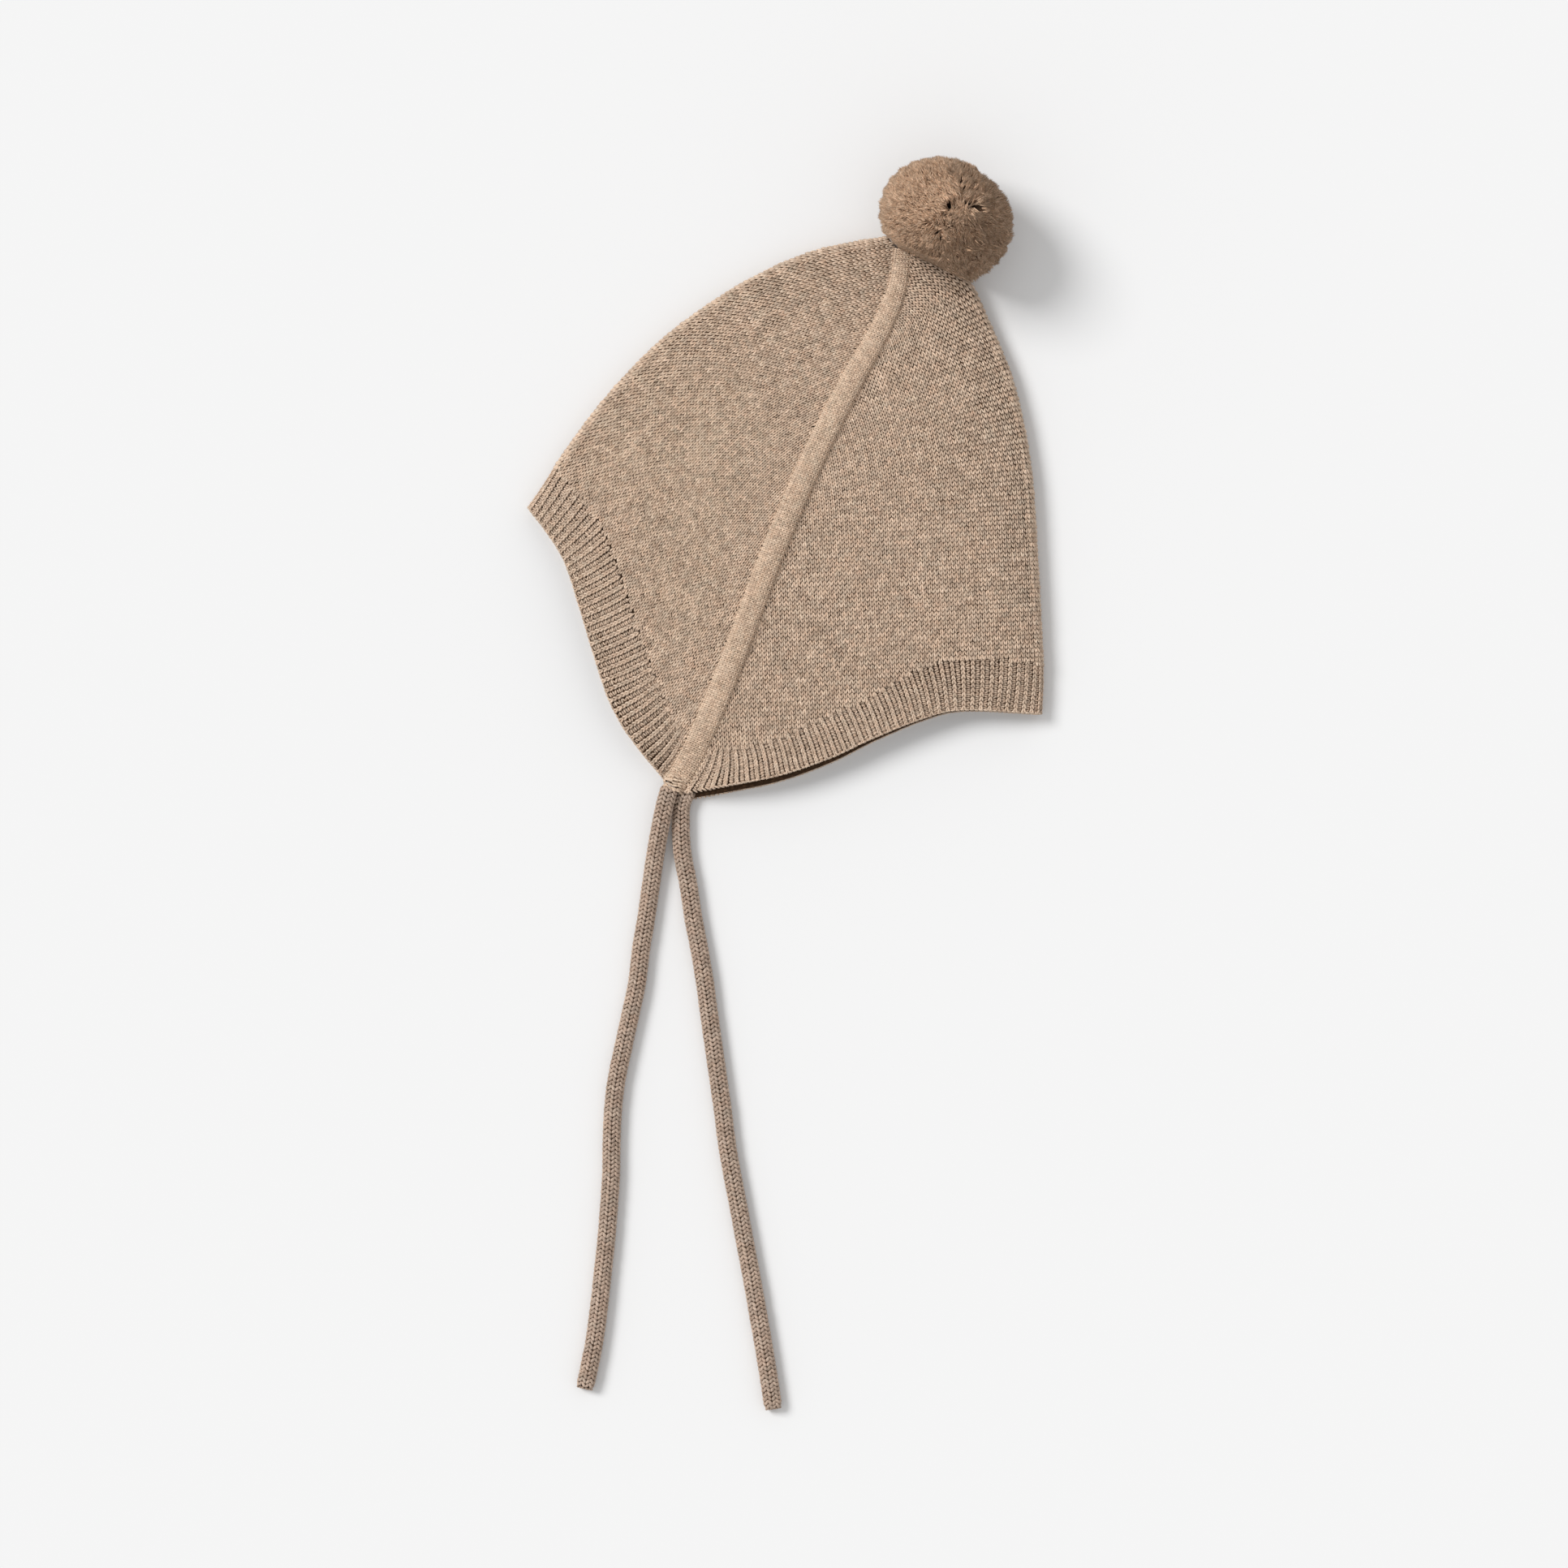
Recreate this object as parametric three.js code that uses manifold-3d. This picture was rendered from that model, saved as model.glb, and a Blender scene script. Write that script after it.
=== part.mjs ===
// A knitted baby bonnet lying on its side on a flat surface. Millimetres, +Z up.
//
// The bonnet is a front panel and a back panel, each folded in two: the front panel along the
// centre front, the back panel along the centre back. Both layers of each panel end at a raised
// side cord that runs from the ear tip to the crown. A ribbed band finishes the face edge and the
// neck edge, a knitted tie hangs from each ear tip and a pompom sits on the crown.
// The far layer lies flat on z = 0 and the near layer arches over it, so the mouth stays open.
// The origin is the bottom centre of the bonnet without its ties; +Y points to the crown end.

import * as THREE from "three";
import { mergeVertices } from "three/addons/utils/BufferGeometryUtils.js";
import Module from "manifold-3d";

// ---- Driving dimensions --------------------------------------------------------------------

const GAP = 0.4; // clear space between neighbouring pieces
const PANEL_WALL = 1.8; // plain knitted fabric
const RIB_WALL = 2.2; // ribbed fabric is a little thicker
const TIP_HEIGHT = 5.2; // height over both layers at the ear tips
const FOLD_HEIGHT = 6.4; // height over the folds
const BODY_HEIGHT = 16.5; // height the middle of the near layer tends to
const FOLD_NOSE = 3.4; // plan width of the rounded nose of a fold
const FOLD_RISE = 16; // distance over which the near layer rises from a fold
const MOUTH_RISE = 26; // distance over which it rises from the mouth
const MOUTH_SHARE = 0.52; // share of the rise that is already there at the mouth
const TIP_RISE = 17; // distance over which it rises from the ear tips
// The far ear tip slid out from under the near one; the slide fades with distance from the tip.
const FAR_SHIFT = { x: 2.6, y: -3.6, fade: 78 };

// The centre-front fold, from the face edge of the rib to the crown.
const FRONT_FOLD_RIB = [
  { x: -95.7, y: -10.5 },
  { x: -90.2, y: -2.6 },
  { x: -85.4, y: 5.2 },
];
const FRONT_FOLD = [
  { x: -85.4, y: 5.2 },
  { x: -76.5, y: 18 },
  { x: -61.8, y: 36 },
  { x: -43.2, y: 54 },
  { x: -17.1, y: 72 },
  { x: 9.3, y: 84 },
  { x: 37.2, y: 89.8 },
];

// The centre-back fold, from the neck edge of the rib to the crown.
const BACK_FOLD_RIB = [
  { x: 94.5, y: -86.8 },
  { x: 95, y: -77 },
  { x: 95, y: -67.5 },
];
const BACK_FOLD = [
  { x: 95, y: -67.5 },
  { x: 93, y: -30 },
  { x: 90.2, y: 6 },
  { x: 83.9, y: 36 },
  { x: 75, y: 58 },
  { x: 65.8, y: 76 },
  { x: 49.5, y: 88.6 },
];

// Edges and seams of the ribbed bands, from the fold towards the ear tip.
const FACE_EDGE = [
  { x: -95.7, y: -10.5 },
  { x: -89.7, y: -18 },
  { x: -82.2, y: -30 },
  { x: -76.2, y: -48 },
  { x: -70.8, y: -66 },
  { x: -64.5, y: -84 },
  { x: -56.5, y: -97 },
];
const FACE_SEAM = [
  { x: -85.4, y: 5.2 },
  { x: -67.2, y: -18.3 },
  { x: -57.9, y: -43.2 },
  { x: -48.6, y: -71.4 },
];
const NECK_EDGE = [
  { x: 94.5, y: -86.8 },
  { x: 62.7, y: -85.6 },
  { x: 50.7, y: -88.5 },
  { x: 30.9, y: -96.3 },
  { x: 16.8, y: -102.9 },
  { x: -3, y: -109.6 },
  { x: -22.8, y: -113.4 },
];
const NECK_SEAM = [
  { x: 95, y: -67.5 },
  { x: 73, y: -65.6 },
  { x: 54.9, y: -67.5 },
  { x: 31.5, y: -79.5 },
  { x: 11.1, y: -88.8 },
  { x: -7.8, y: -96.6 },
];

// The side cord from the ear tip to the crown: where it runs, how wide it is, how far it stands
// above the near layer, and how far the far one is pressed up into the hollow.
const SIDE_CORD = [
  { x: -41.8, y: -112.8, width: 9.6, proud: 0.9, inward: 0.3 },
  { x: -36, y: -104.4, width: 9.4, proud: 1.4, inward: 0.8 },
  { x: -20.4, y: -68.4, width: 9, proud: 2.4, inward: 2 },
  { x: -4.5, y: -26.1, width: 9, proud: 2.6, inward: 2.4 },
  { x: 11.1, y: 9.9, width: 9, proud: 2.6, inward: 2.4 },
  { x: 23.7, y: 35.1, width: 8.8, proud: 2.5, inward: 2.2 },
  { x: 34.2, y: 54, width: 8, proud: 2.3, inward: 1.6 },
  { x: 40.8, y: 69.6, width: 7, proud: 2, inward: 0.8 },
  { x: 43.2, y: 86, width: 6.4, proud: 1.6, inward: 0.3 },
];
const SEAM_AT = 0.078; // share of the side cord that lies between the ribbed bands

// Where each tie runs, from its ear tip to its free end. The near tie starts on top of the far one.
const TIE = { width: 6.6, height: 5.2, sides: 12, steps: 18 };
const NEAR_TIE = [
  { x: -43.2, y: -114.4, z: 5.2 },
  { x: -44.8, y: -120, z: 5.7 },
  { x: -46.1, y: -126, z: 5.6 },
  { x: -48.3, y: -138, z: 3.4 },
  { x: -50.1, y: -150, z: 2.6 },
  { x: -51.8, y: -162, z: 2.6 },
  { x: -53.8, y: -174, z: 2.6 },
  { x: -55.2, y: -186, z: 2.6 },
  { x: -57.7, y: -198, z: 2.6 },
  { x: -60.3, y: -210, z: 2.6 },
  { x: -62.8, y: -222, z: 2.6 },
  { x: -64.2, y: -234, z: 2.6 },
  { x: -64.7, y: -246, z: 2.6 },
  { x: -64.9, y: -258, z: 2.6 },
  { x: -65.7, y: -270, z: 2.6 },
  { x: -66.7, y: -282, z: 2.6 },
  { x: -68, y: -294, z: 2.6 },
  { x: -69.3, y: -306, z: 2.6 },
  { x: -70.9, y: -318, z: 2.6 },
  { x: -73.2, y: -330, z: 2.6 },
  { x: -74.7, y: -336.6, z: 2.6 },
];
const FAR_TIE = [
  { x: -38.4, y: -119.2, z: 2.6 },
  { x: -39.1, y: -126, z: 2.6 },
  { x: -38.5, y: -138, z: 2.6 },
  { x: -36.3, y: -150, z: 2.6 },
  { x: -34.5, y: -162, z: 2.6 },
  { x: -32.2, y: -174, z: 2.6 },
  { x: -30.2, y: -186, z: 2.6 },
  { x: -28.6, y: -198, z: 2.6 },
  { x: -26.9, y: -210, z: 2.6 },
  { x: -25.2, y: -222, z: 2.6 },
  { x: -23.5, y: -234, z: 2.6 },
  { x: -22, y: -246, z: 2.6 },
  { x: -19.9, y: -258, z: 2.6 },
  { x: -17.6, y: -270, z: 2.6 },
  { x: -15.4, y: -282, z: 2.6 },
  { x: -13.1, y: -294, z: 2.6 },
  { x: -11, y: -306, z: 2.6 },
  { x: -8.9, y: -318, z: 2.6 },
  { x: -6.9, y: -330, z: 2.6 },
  { x: -4.8, y: -344.1, z: 2.6 },
];

const POMPOM = {
  centre: { x: 58.3, y: 94.2, z: 21.5 },
  radius: { x: 26.1, y: 22.3, z: 23.5 },
  turn: -0.55, // how far its longer axis is turned down from +X, in radians
  lump: 0.012, // how far its outline swells and dips, as a share of the radius
  around: 28,
  down: 18,
};
// The hollow pressed into the pompom by the crown: how far it clears the folds, how high it
// reaches, and how far down the panels it runs.
const CROWN_HOLLOW = { clear: 0.6, top: 12, below: 45 };

const MESH = { rows: 22, across: 9, nose: 3, ribRows: 3, cordRings: 36, cordSides: 8 };
const SAMPLES = 90; // points along a curve when distances to it are measured

// ---- Curves in plan ------------------------------------------------------------------------

function through(points) {
  const corners = points.map((p) => new THREE.Vector3(p.x, p.y, p.z ?? 0));
  return new THREE.CatmullRomCurve3(corners, false, "centripetal");
}

function sampled(...tables) {
  return tables.flatMap((table) => through(table).getSpacedPoints(SAMPLES));
}

function distanceTo(samples, x, y) {
  return Math.min(...samples.map((p) => Math.hypot(p.x - x, p.y - y)));
}

const cordCurve = through(SIDE_CORD);

// A column of the side cord's table at share t of its length.
function cordSize(column, t) {
  const u = cordCurve.getUtoTmapping(t) * (SIDE_CORD.length - 1);
  const row = Math.min(Math.floor(u), SIDE_CORD.length - 2);
  return THREE.MathUtils.lerp(SIDE_CORD[row][column], SIDE_CORD[row + 1][column], u - row);
}

// A point beside the cord's centreline at share t, out by a distance to its left.
function besideCord(t, out) {
  const at = cordCurve.getPointAt(t);
  const along = cordCurve.getTangentAt(t);
  return new THREE.Vector3(at.x - along.y * out, at.y + along.x * out, 0);
}

// The edge of a panel beside the cord: side 1 is the front panel's, side -1 the back panel's.
function cordEdge(side, t) {
  return besideCord(t, side * (cordSize("width", t) / 2 + GAP));
}

// How far a point of the far layer has slid from under the near layer's point at x, y.
function farShift({ x, y }) {
  const fromTip = Math.hypot(x - SIDE_CORD[0].x, y - SIDE_CORD[0].y) / FAR_SHIFT.fade;
  const share = Math.exp(-fromTip * fromTip);
  return new THREE.Vector3(FAR_SHIFT.x * share, FAR_SHIFT.y * share, 0);
}

// ---- Height of the near layer --------------------------------------------------------------

const frontFoldLine = sampled(FRONT_FOLD_RIB, FRONT_FOLD);
const backFoldLine = sampled(BACK_FOLD_RIB, BACK_FOLD);
const mouthLine = sampled(FACE_EDGE, NECK_EDGE);

const rise = (distance, over) => 1 - Math.exp(-distance / over);

function nearHeight(x, y) {
  const folds = rise(distanceTo(frontFoldLine, x, y), FOLD_RISE)
    * rise(distanceTo(backFoldLine, x, y), FOLD_RISE);
  const mouth = MOUTH_SHARE
    + (1 - MOUTH_SHARE) * rise(distanceTo(mouthLine, x, y), MOUTH_RISE);
  const fromTip = Math.hypot(x - SIDE_CORD[0].x, y - SIDE_CORD[0].y) / TIP_RISE;
  const tip = 1 - Math.exp(-fromTip * fromTip);
  const body = FOLD_HEIGHT - TIP_HEIGHT + (BODY_HEIGHT - FOLD_HEIGHT) * folds * mouth;
  return TIP_HEIGHT + body * tip;
}

// ---- Folded panels and bands ---------------------------------------------------------------

// A patch of the plan between four curves: u runs from the fold to the side cord and v from the
// mouth towards the crown.
function patch(low, high, fold, cord) {
  const corners = [low(0), low(1), high(0), high(1)];
  return (u, v) => {
    const point = low(u).multiplyScalar(1 - v).addScaledVector(high(u), v);
    point.addScaledVector(fold(v), 1 - u).addScaledVector(cord(v), u);
    point.addScaledVector(corners[0], -(1 - u) * (1 - v)).addScaledVector(corners[1], -u * (1 - v));
    return point.addScaledVector(corners[2], -(1 - u) * v).addScaledVector(corners[3], -u * v);
  };
}

// One row of a folded piece, from the near edge round the fold to the far edge, as pairs of an
// outer and an inner point.
function foldedRow(plan, v, wall) {
  const fold = plan(0, v);
  const width = fold.distanceTo(plan(1, v));
  const nose = Math.min(FOLD_NOSE, 0.6 * width);
  const noseAt = nose / width;
  const inward = plan(noseAt, v).sub(fold).normalize();
  const atNose = plan(noseAt, v);
  const height = nearHeight(atNose.x, atNose.y);
  const near = [];
  const far = [];
  for (let i = 0; i <= MESH.across; i += 1) {
    const u = 1 - (1 - noseAt) * (i / MESH.across);
    const p = plan(u, v);
    const top = nearHeight(p.x, p.y);
    const q = p.clone().add(farShift(p));
    near.push({ outer: [p.x, p.y, top], inner: [p.x, p.y, top - wall] });
    far.unshift({ outer: [q.x, q.y, 0], inner: [q.x, q.y, wall] });
  }
  const round = [];
  for (let i = 1; i < 2 * MESH.nose; i += 1) {
    const angle = (Math.PI / 2) * (1 - i / MESH.nose);
    const along = 1 - Math.cos(angle);
    const outer = fold.clone().addScaledVector(inward, nose * along);
    const inner = fold.clone().addScaledVector(inward, wall + (nose - wall) * along);
    const middle = height / 2;
    round.push({
      outer: [outer.x, outer.y, middle + middle * Math.sin(angle)],
      inner: [inner.x, inner.y, middle + (middle - wall) * Math.sin(angle)],
    });
  }
  return [...near, ...round, ...far];
}

// A closed wall between the outer and inner points of a grid of rows.
function wallGeometry(rows, turned) {
  const corners = [];
  const push = (a, b, c) => corners.push(...(turned ? [a, c, b] : [a, b, c]).flat());
  const quad = (a, b, c, d) => {
    push(a, b, c);
    push(a, c, d);
  };
  const last = rows[0].length - 1;
  for (let r = 0; r + 1 < rows.length; r += 1) {
    const [low, high] = [rows[r], rows[r + 1]];
    for (let k = 0; k < last; k += 1) {
      quad(low[k].outer, high[k].outer, high[k + 1].outer, low[k + 1].outer);
      quad(low[k].inner, low[k + 1].inner, high[k + 1].inner, high[k].inner);
    }
    quad(low[0].outer, low[0].inner, high[0].inner, high[0].outer);
    quad(low[last].outer, high[last].outer, high[last].inner, low[last].inner);
  }
  for (let k = 0; k < last; k += 1) {
    const [a, b] = [rows[0][k], rows[0][k + 1]];
    quad(a.outer, b.outer, b.inner, a.inner);
    const [c, d] = [rows.at(-1)[k], rows.at(-1)[k + 1]];
    quad(c.outer, c.inner, d.inner, d.outer);
  }
  const geometry = new THREE.BufferGeometry();
  geometry.setAttribute("position", new THREE.Float32BufferAttribute(corners, 3));
  geometry.computeVertexNormals();
  return geometry;
}

function foldedPiece({ side, low, high, fold, from, to, vRange, wall, rows }) {
  const cord = (v) => cordEdge(side, THREE.MathUtils.lerp(from, to, v));
  const plan = patch(low, high, (v) => fold.getPointAt(v), cord);
  const grid = [];
  for (let r = 0; r <= rows; r += 1) {
    const v = THREE.MathUtils.lerp(vRange[0], vRange[1], r / rows);
    grid.push(foldedRow(plan, v, wall));
  }
  return wallGeometry(grid, side < 0);
}

// An edge or seam line that runs on from its table to the side cord.
function lineToCord(table, side, t) {
  const end = cordEdge(side, t);
  const line = through([...table, { x: end.x, y: end.y }]);
  return (u) => line.getPointAt(u);
}

function straight(from, to) {
  return (u) => from.clone().lerp(to, u);
}

function panel(side, foldTable, seamTable) {
  const fold = through(foldTable);
  return foldedPiece({
    side,
    low: lineToCord(seamTable, side, SEAM_AT),
    high: straight(fold.getPointAt(1), cordEdge(side, 1)),
    fold,
    from: SEAM_AT,
    to: 1,
    vRange: [GAP / fold.getLength(), 1],
    wall: PANEL_WALL,
    rows: MESH.rows,
  });
}

function ribBand(side, foldTable, edgeTable, seamTable) {
  const fold = through(foldTable);
  return foldedPiece({
    side,
    low: lineToCord(edgeTable, side, 0),
    high: lineToCord(seamTable, side, SEAM_AT),
    fold,
    from: 0,
    to: SEAM_AT,
    vRange: [0, 1 - GAP / fold.getLength()],
    wall: RIB_WALL,
    rows: MESH.ribRows,
  });
}

// ---- Side cords ----------------------------------------------------------------------------

// A rounded strip along the cord line, flat on one face: ring points come from a half ellipse.
function cordStrip(sizeAt) {
  const rings = [];
  for (let r = 0; r <= MESH.cordRings; r += 1) {
    const t = r / MESH.cordRings;
    const { flat, crest, shift } = sizeAt(t);
    const half = cordSize("width", t) / 2;
    const ring = [];
    for (let k = 0; k <= MESH.cordSides; k += 1) {
      const angle = (Math.PI * k) / MESH.cordSides;
      const at = besideCord(t, half * Math.cos(angle)).add(shift);
      const roll = Math.sin(angle) ** 0.7;
      ring.push([at.x, at.y, flat + (crest - flat) * (0.25 + 0.75 * roll)]);
    }
    const left = besideCord(t, half).add(shift);
    const right = besideCord(t, -half).add(shift);
    ring.push([right.x, right.y, flat], [left.x, left.y, flat]);
    rings.push(ring);
  }
  return tubeGeometry(rings);
}

// A closed tube through rings with the same number of points.
function tubeGeometry(rings) {
  const corners = [];
  const count = rings[0].length;
  for (let r = 0; r + 1 < rings.length; r += 1) {
    for (let k = 0; k < count; k += 1) {
      const [a, b] = [rings[r][k], rings[r][(k + 1) % count]];
      const [c, d] = [rings[r + 1][(k + 1) % count], rings[r + 1][k]];
      corners.push(...a, ...b, ...c, ...a, ...c, ...d);
    }
  }
  for (let k = 1; k + 1 < count; k += 1) {
    corners.push(...rings[0][0], ...rings[0][k + 1], ...rings[0][k]);
    corners.push(...rings.at(-1)[0], ...rings.at(-1)[k], ...rings.at(-1)[k + 1]);
  }
  const geometry = new THREE.BufferGeometry();
  geometry.setAttribute("position", new THREE.Float32BufferAttribute(corners, 3));
  geometry.computeVertexNormals();
  return geometry;
}

const nearCord = () => cordStrip((t) => {
  const at = cordCurve.getPointAt(t);
  const top = nearHeight(at.x, at.y);
  return {
    flat: top - PANEL_WALL,
    crest: top + cordSize("proud", t),
    shift: new THREE.Vector3(),
  };
});

const farCord = () => cordStrip((t) => ({
  flat: 0,
  crest: PANEL_WALL + cordSize("inward", t),
  shift: farShift(cordCurve.getPointAt(t)),
}));

// ---- Pompom --------------------------------------------------------------------------------

const wasm = await Module();
wasm.setup();

function solidOf(geometry) {
  const plain = geometry.clone().deleteAttribute("normal");
  if (plain.hasAttribute("uv")) plain.deleteAttribute("uv");
  const merged = mergeVertices(plain, 1e-4);
  return new wasm.Manifold(new wasm.Mesh({
    numProp: 3,
    vertProperties: merged.attributes.position.array,
    triVerts: new Uint32Array(merged.index.array),
  }));
}

function geometryOf(solid) {
  const mesh = solid.getMesh();
  const geometry = new THREE.BufferGeometry();
  geometry.setAttribute("position", new THREE.Float32BufferAttribute(mesh.vertProperties, 3));
  geometry.setIndex(Array.from(mesh.triVerts));
  geometry.computeVertexNormals();
  return geometry;
}

// A ball with a slightly lumpy outline, pressed flat where it rests.
function ball() {
  const geometry = new THREE.SphereGeometry(1, POMPOM.around, POMPOM.down);
  geometry.rotateX(Math.PI / 2);
  const position = geometry.getAttribute("position");
  for (let i = 0; i < position.count; i += 1) {
    const p = new THREE.Vector3().fromBufferAttribute(position, i);
    const turn = Math.atan2(p.y, p.x);
    const level = Math.hypot(p.x, p.y);
    const swell = 1 + POMPOM.lump * level * (Math.sin(3 * turn + 0.4) + Math.cos(5 * turn));
    const z = Math.max(POMPOM.radius.z * p.z, -POMPOM.centre.z);
    position.setXYZ(i, POMPOM.radius.x * p.x * swell, POMPOM.radius.y * p.y * swell, z);
  }
  geometry.rotateZ(POMPOM.turn);
  geometry.translate(POMPOM.centre.x, POMPOM.centre.y, POMPOM.centre.z);
  return geometry;
}

// The crown end of the folded panels, a little larger all round.
function crownHollow() {
  const outline = new THREE.Shape();
  const front = through(FRONT_FOLD).getSpacedPoints(SAMPLES).filter((p) => p.y > CROWN_HOLLOW.below);
  const back = through(BACK_FOLD).getSpacedPoints(SAMPLES).filter((p) => p.y > CROWN_HOLLOW.below);
  const line = [...front, ...back.reverse()];
  const centre = cordCurve.getPointAt(0.85);
  line.forEach((p, i) => {
    const out = p.clone().sub(centre).setLength(CROWN_HOLLOW.clear).add(p);
    if (i === 0) outline.moveTo(out.x, out.y);
    else outline.lineTo(out.x, out.y);
  });
  outline.closePath();
  const depth = CROWN_HOLLOW.top + 1;
  return new THREE.ExtrudeGeometry(outline, { depth, bevelEnabled: false }).translate(0, 0, -1);
}

const pompomBall = () => geometryOf(solidOf(ball()).subtract(solidOf(crownHollow())));

// ---- Ties ----------------------------------------------------------------------------------

// The section's first axis comes out vertical along a flat route, so its height goes there.
function tieTube(route) {
  const section = new THREE.Shape();
  for (let k = 0; k < TIE.sides; k += 1) {
    const angle = (2 * Math.PI * k) / TIE.sides;
    const x = (TIE.height / 2) * Math.cos(angle);
    const y = (TIE.width / 2) * Math.sin(angle);
    if (k === 0) section.moveTo(x, y);
    else section.lineTo(x, y);
  }
  section.closePath();
  const extrudePath = through(route);
  return new THREE.ExtrudeGeometry(section, { steps: TIE.steps, extrudePath, bevelEnabled: false });
}

// ---- Assembly ------------------------------------------------------------------------------

const finish = (color) => new THREE.MeshStandardMaterial({ color, roughness: 0.95, metalness: 0 });
const panelKnit = finish("#a8937b");
const ribKnit = finish("#a08b73");
const cordKnit = finish("#ab967e");
const pompomYarn = finish("#967c62");
const tieKnit = finish("#a38e76");

const bonnet = new THREE.Group();

function add(name, geometry, material) {
  const mesh = new THREE.Mesh(geometry, material);
  mesh.name = name;
  bonnet.add(mesh);
}

add("front_panel", panel(1, FRONT_FOLD, FACE_SEAM), panelKnit);
add("back_panel", panel(-1, BACK_FOLD, NECK_SEAM), panelKnit.clone());
add("face_rib", ribBand(1, FRONT_FOLD_RIB, FACE_EDGE, FACE_SEAM), ribKnit);
add("neck_rib", ribBand(-1, BACK_FOLD_RIB, NECK_EDGE, NECK_SEAM), ribKnit.clone());
add("side_cord_near", nearCord(), cordKnit);
add("side_cord_far", farCord(), cordKnit.clone());
add("pompom", pompomBall(), pompomYarn);
add("tie_near", tieTube(NEAR_TIE), tieKnit);
add("tie_far", tieTube(FAR_TIE), tieKnit.clone());

export default bonnet;
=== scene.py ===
# %% [markdown]
# # A knitted baby bonnet, lying on its side
#
# The real bonnet is machine knitted from a fine heather-beige wool. A front panel and a back
# panel are each folded in two, a rolled side cord covers the seam between them, a rib finishes
# the face and the neck, a knitted tie hangs from each ear tip, and a pompom sits on the crown.
# The solids made in CAD fix every size. This lesson dresses them in real stitches.

import bpy
import math
import numpy as np
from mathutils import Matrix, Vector


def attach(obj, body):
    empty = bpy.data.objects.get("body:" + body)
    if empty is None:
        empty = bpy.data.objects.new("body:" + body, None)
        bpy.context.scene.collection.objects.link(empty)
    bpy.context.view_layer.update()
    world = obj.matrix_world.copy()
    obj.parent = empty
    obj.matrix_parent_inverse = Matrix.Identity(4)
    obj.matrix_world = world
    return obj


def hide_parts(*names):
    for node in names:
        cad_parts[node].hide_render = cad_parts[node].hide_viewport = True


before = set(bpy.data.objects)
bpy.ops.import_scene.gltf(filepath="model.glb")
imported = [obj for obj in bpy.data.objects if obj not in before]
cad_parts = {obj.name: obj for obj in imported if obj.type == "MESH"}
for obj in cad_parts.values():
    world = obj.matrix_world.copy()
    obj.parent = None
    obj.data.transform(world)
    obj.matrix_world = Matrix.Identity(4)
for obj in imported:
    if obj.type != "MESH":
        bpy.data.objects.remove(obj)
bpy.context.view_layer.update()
MM = 0.001

# %% [markdown]
# ## Camera, floor and light
#
# A garment shown flat is looked at from straight above with a long lens, so nothing leans. The
# floor is one pale sheet. A wide soft sun from the left gives each stitch a lit and a shaded
# side, and the pale sky keeps the shadows soft.

# %% Camera straight above
VIEW_CENTRE = (-0.0009, -0.1128)
VIEW_WIDTH = 0.5796
VIEW_HEIGHT = 0.004  # the view is that wide at this height
LENS_MM, SENSOR_MM = 180, 36

bpy.ops.object.select_all(action="DESELECT")
camera_height = VIEW_HEIGHT + VIEW_WIDTH * LENS_MM / SENSOR_MM
bpy.ops.object.camera_add(location=(*VIEW_CENTRE, camera_height), rotation=(0, 0, 0))
camera = bpy.context.object
camera.data.lens = LENS_MM
camera.data.sensor_width = SENSOR_MM
bpy.context.scene.camera = camera
print("camera height", round(camera_height, 3), "m")

# %% Pale floor
FLOOR_BELOW, FLOOR_WIDTH = 0.15 * MM, 12
PAPER_GREY, PAPER_ROUGHNESS = 0.84, 0.95


def paper_finish(name):
    """A matt pale grey that mirrors nothing."""
    material = bpy.data.materials.new(name)
    material.use_nodes = True
    shader = material.node_tree.nodes["Principled BSDF"]
    shader.inputs["Base Color"].default_value = (PAPER_GREY, PAPER_GREY, PAPER_GREY, 1)
    shader.inputs["Roughness"].default_value = PAPER_ROUGHNESS
    shader.inputs["Specular IOR Level"].default_value = 0
    return material


bpy.ops.mesh.primitive_plane_add(size=FLOOR_WIDTH, location=(0, 0, -FLOOR_BELOW))
floor = bpy.context.object
floor.name = "floor"
floor.data.materials.append(paper_finish("pale_paper"))
print("floor", FLOOR_WIDTH, "m wide,", round(FLOOR_BELOW / MM, 2), "mm under the bonnet")

# %% Soft sun and sky
SUN_TURN = math.radians(150)  # where the light comes from, round from +X
SUN_LIFT = math.radians(43)
SUN_SPREAD = math.radians(24)
SUN_STRENGTH = 2.12
SKY_STRENGTH = 0.63

towards_sun = Vector((
    math.cos(SUN_TURN) * math.cos(SUN_LIFT),
    math.sin(SUN_TURN) * math.cos(SUN_LIFT),
    math.sin(SUN_LIFT),
))
bpy.ops.object.light_add(type="SUN", rotation=towards_sun.to_track_quat("Z", "Y").to_euler())
sun = bpy.context.object
sun.data.energy = SUN_STRENGTH
sun.data.angle = SUN_SPREAD
sky = bpy.data.worlds.new("studio_sky")
sky.use_nodes = True
sky.node_tree.nodes["Background"].inputs["Color"].default_value = (1, 1, 1, 1)
sky.node_tree.nodes["Background"].inputs["Strength"].default_value = SKY_STRENGTH
bpy.context.scene.world = sky
bpy.context.scene.view_settings.view_transform = "Standard"
print("sun", SUN_STRENGTH, "and sky", SKY_STRENGTH)

# %% [markdown]
# ## Lines to follow
#
# Every knitted edge, fold and cord follows a smooth curve through a table of points. The tables
# are the ones the CAD part was drawn with, in metres, so the cloth lands where the solids are.
# Only the top end of the side cord is a little flatter here, under the pompom. A centripetal
# curve is used, because it never overshoots between two points.

# %% A smooth line through a table


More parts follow.
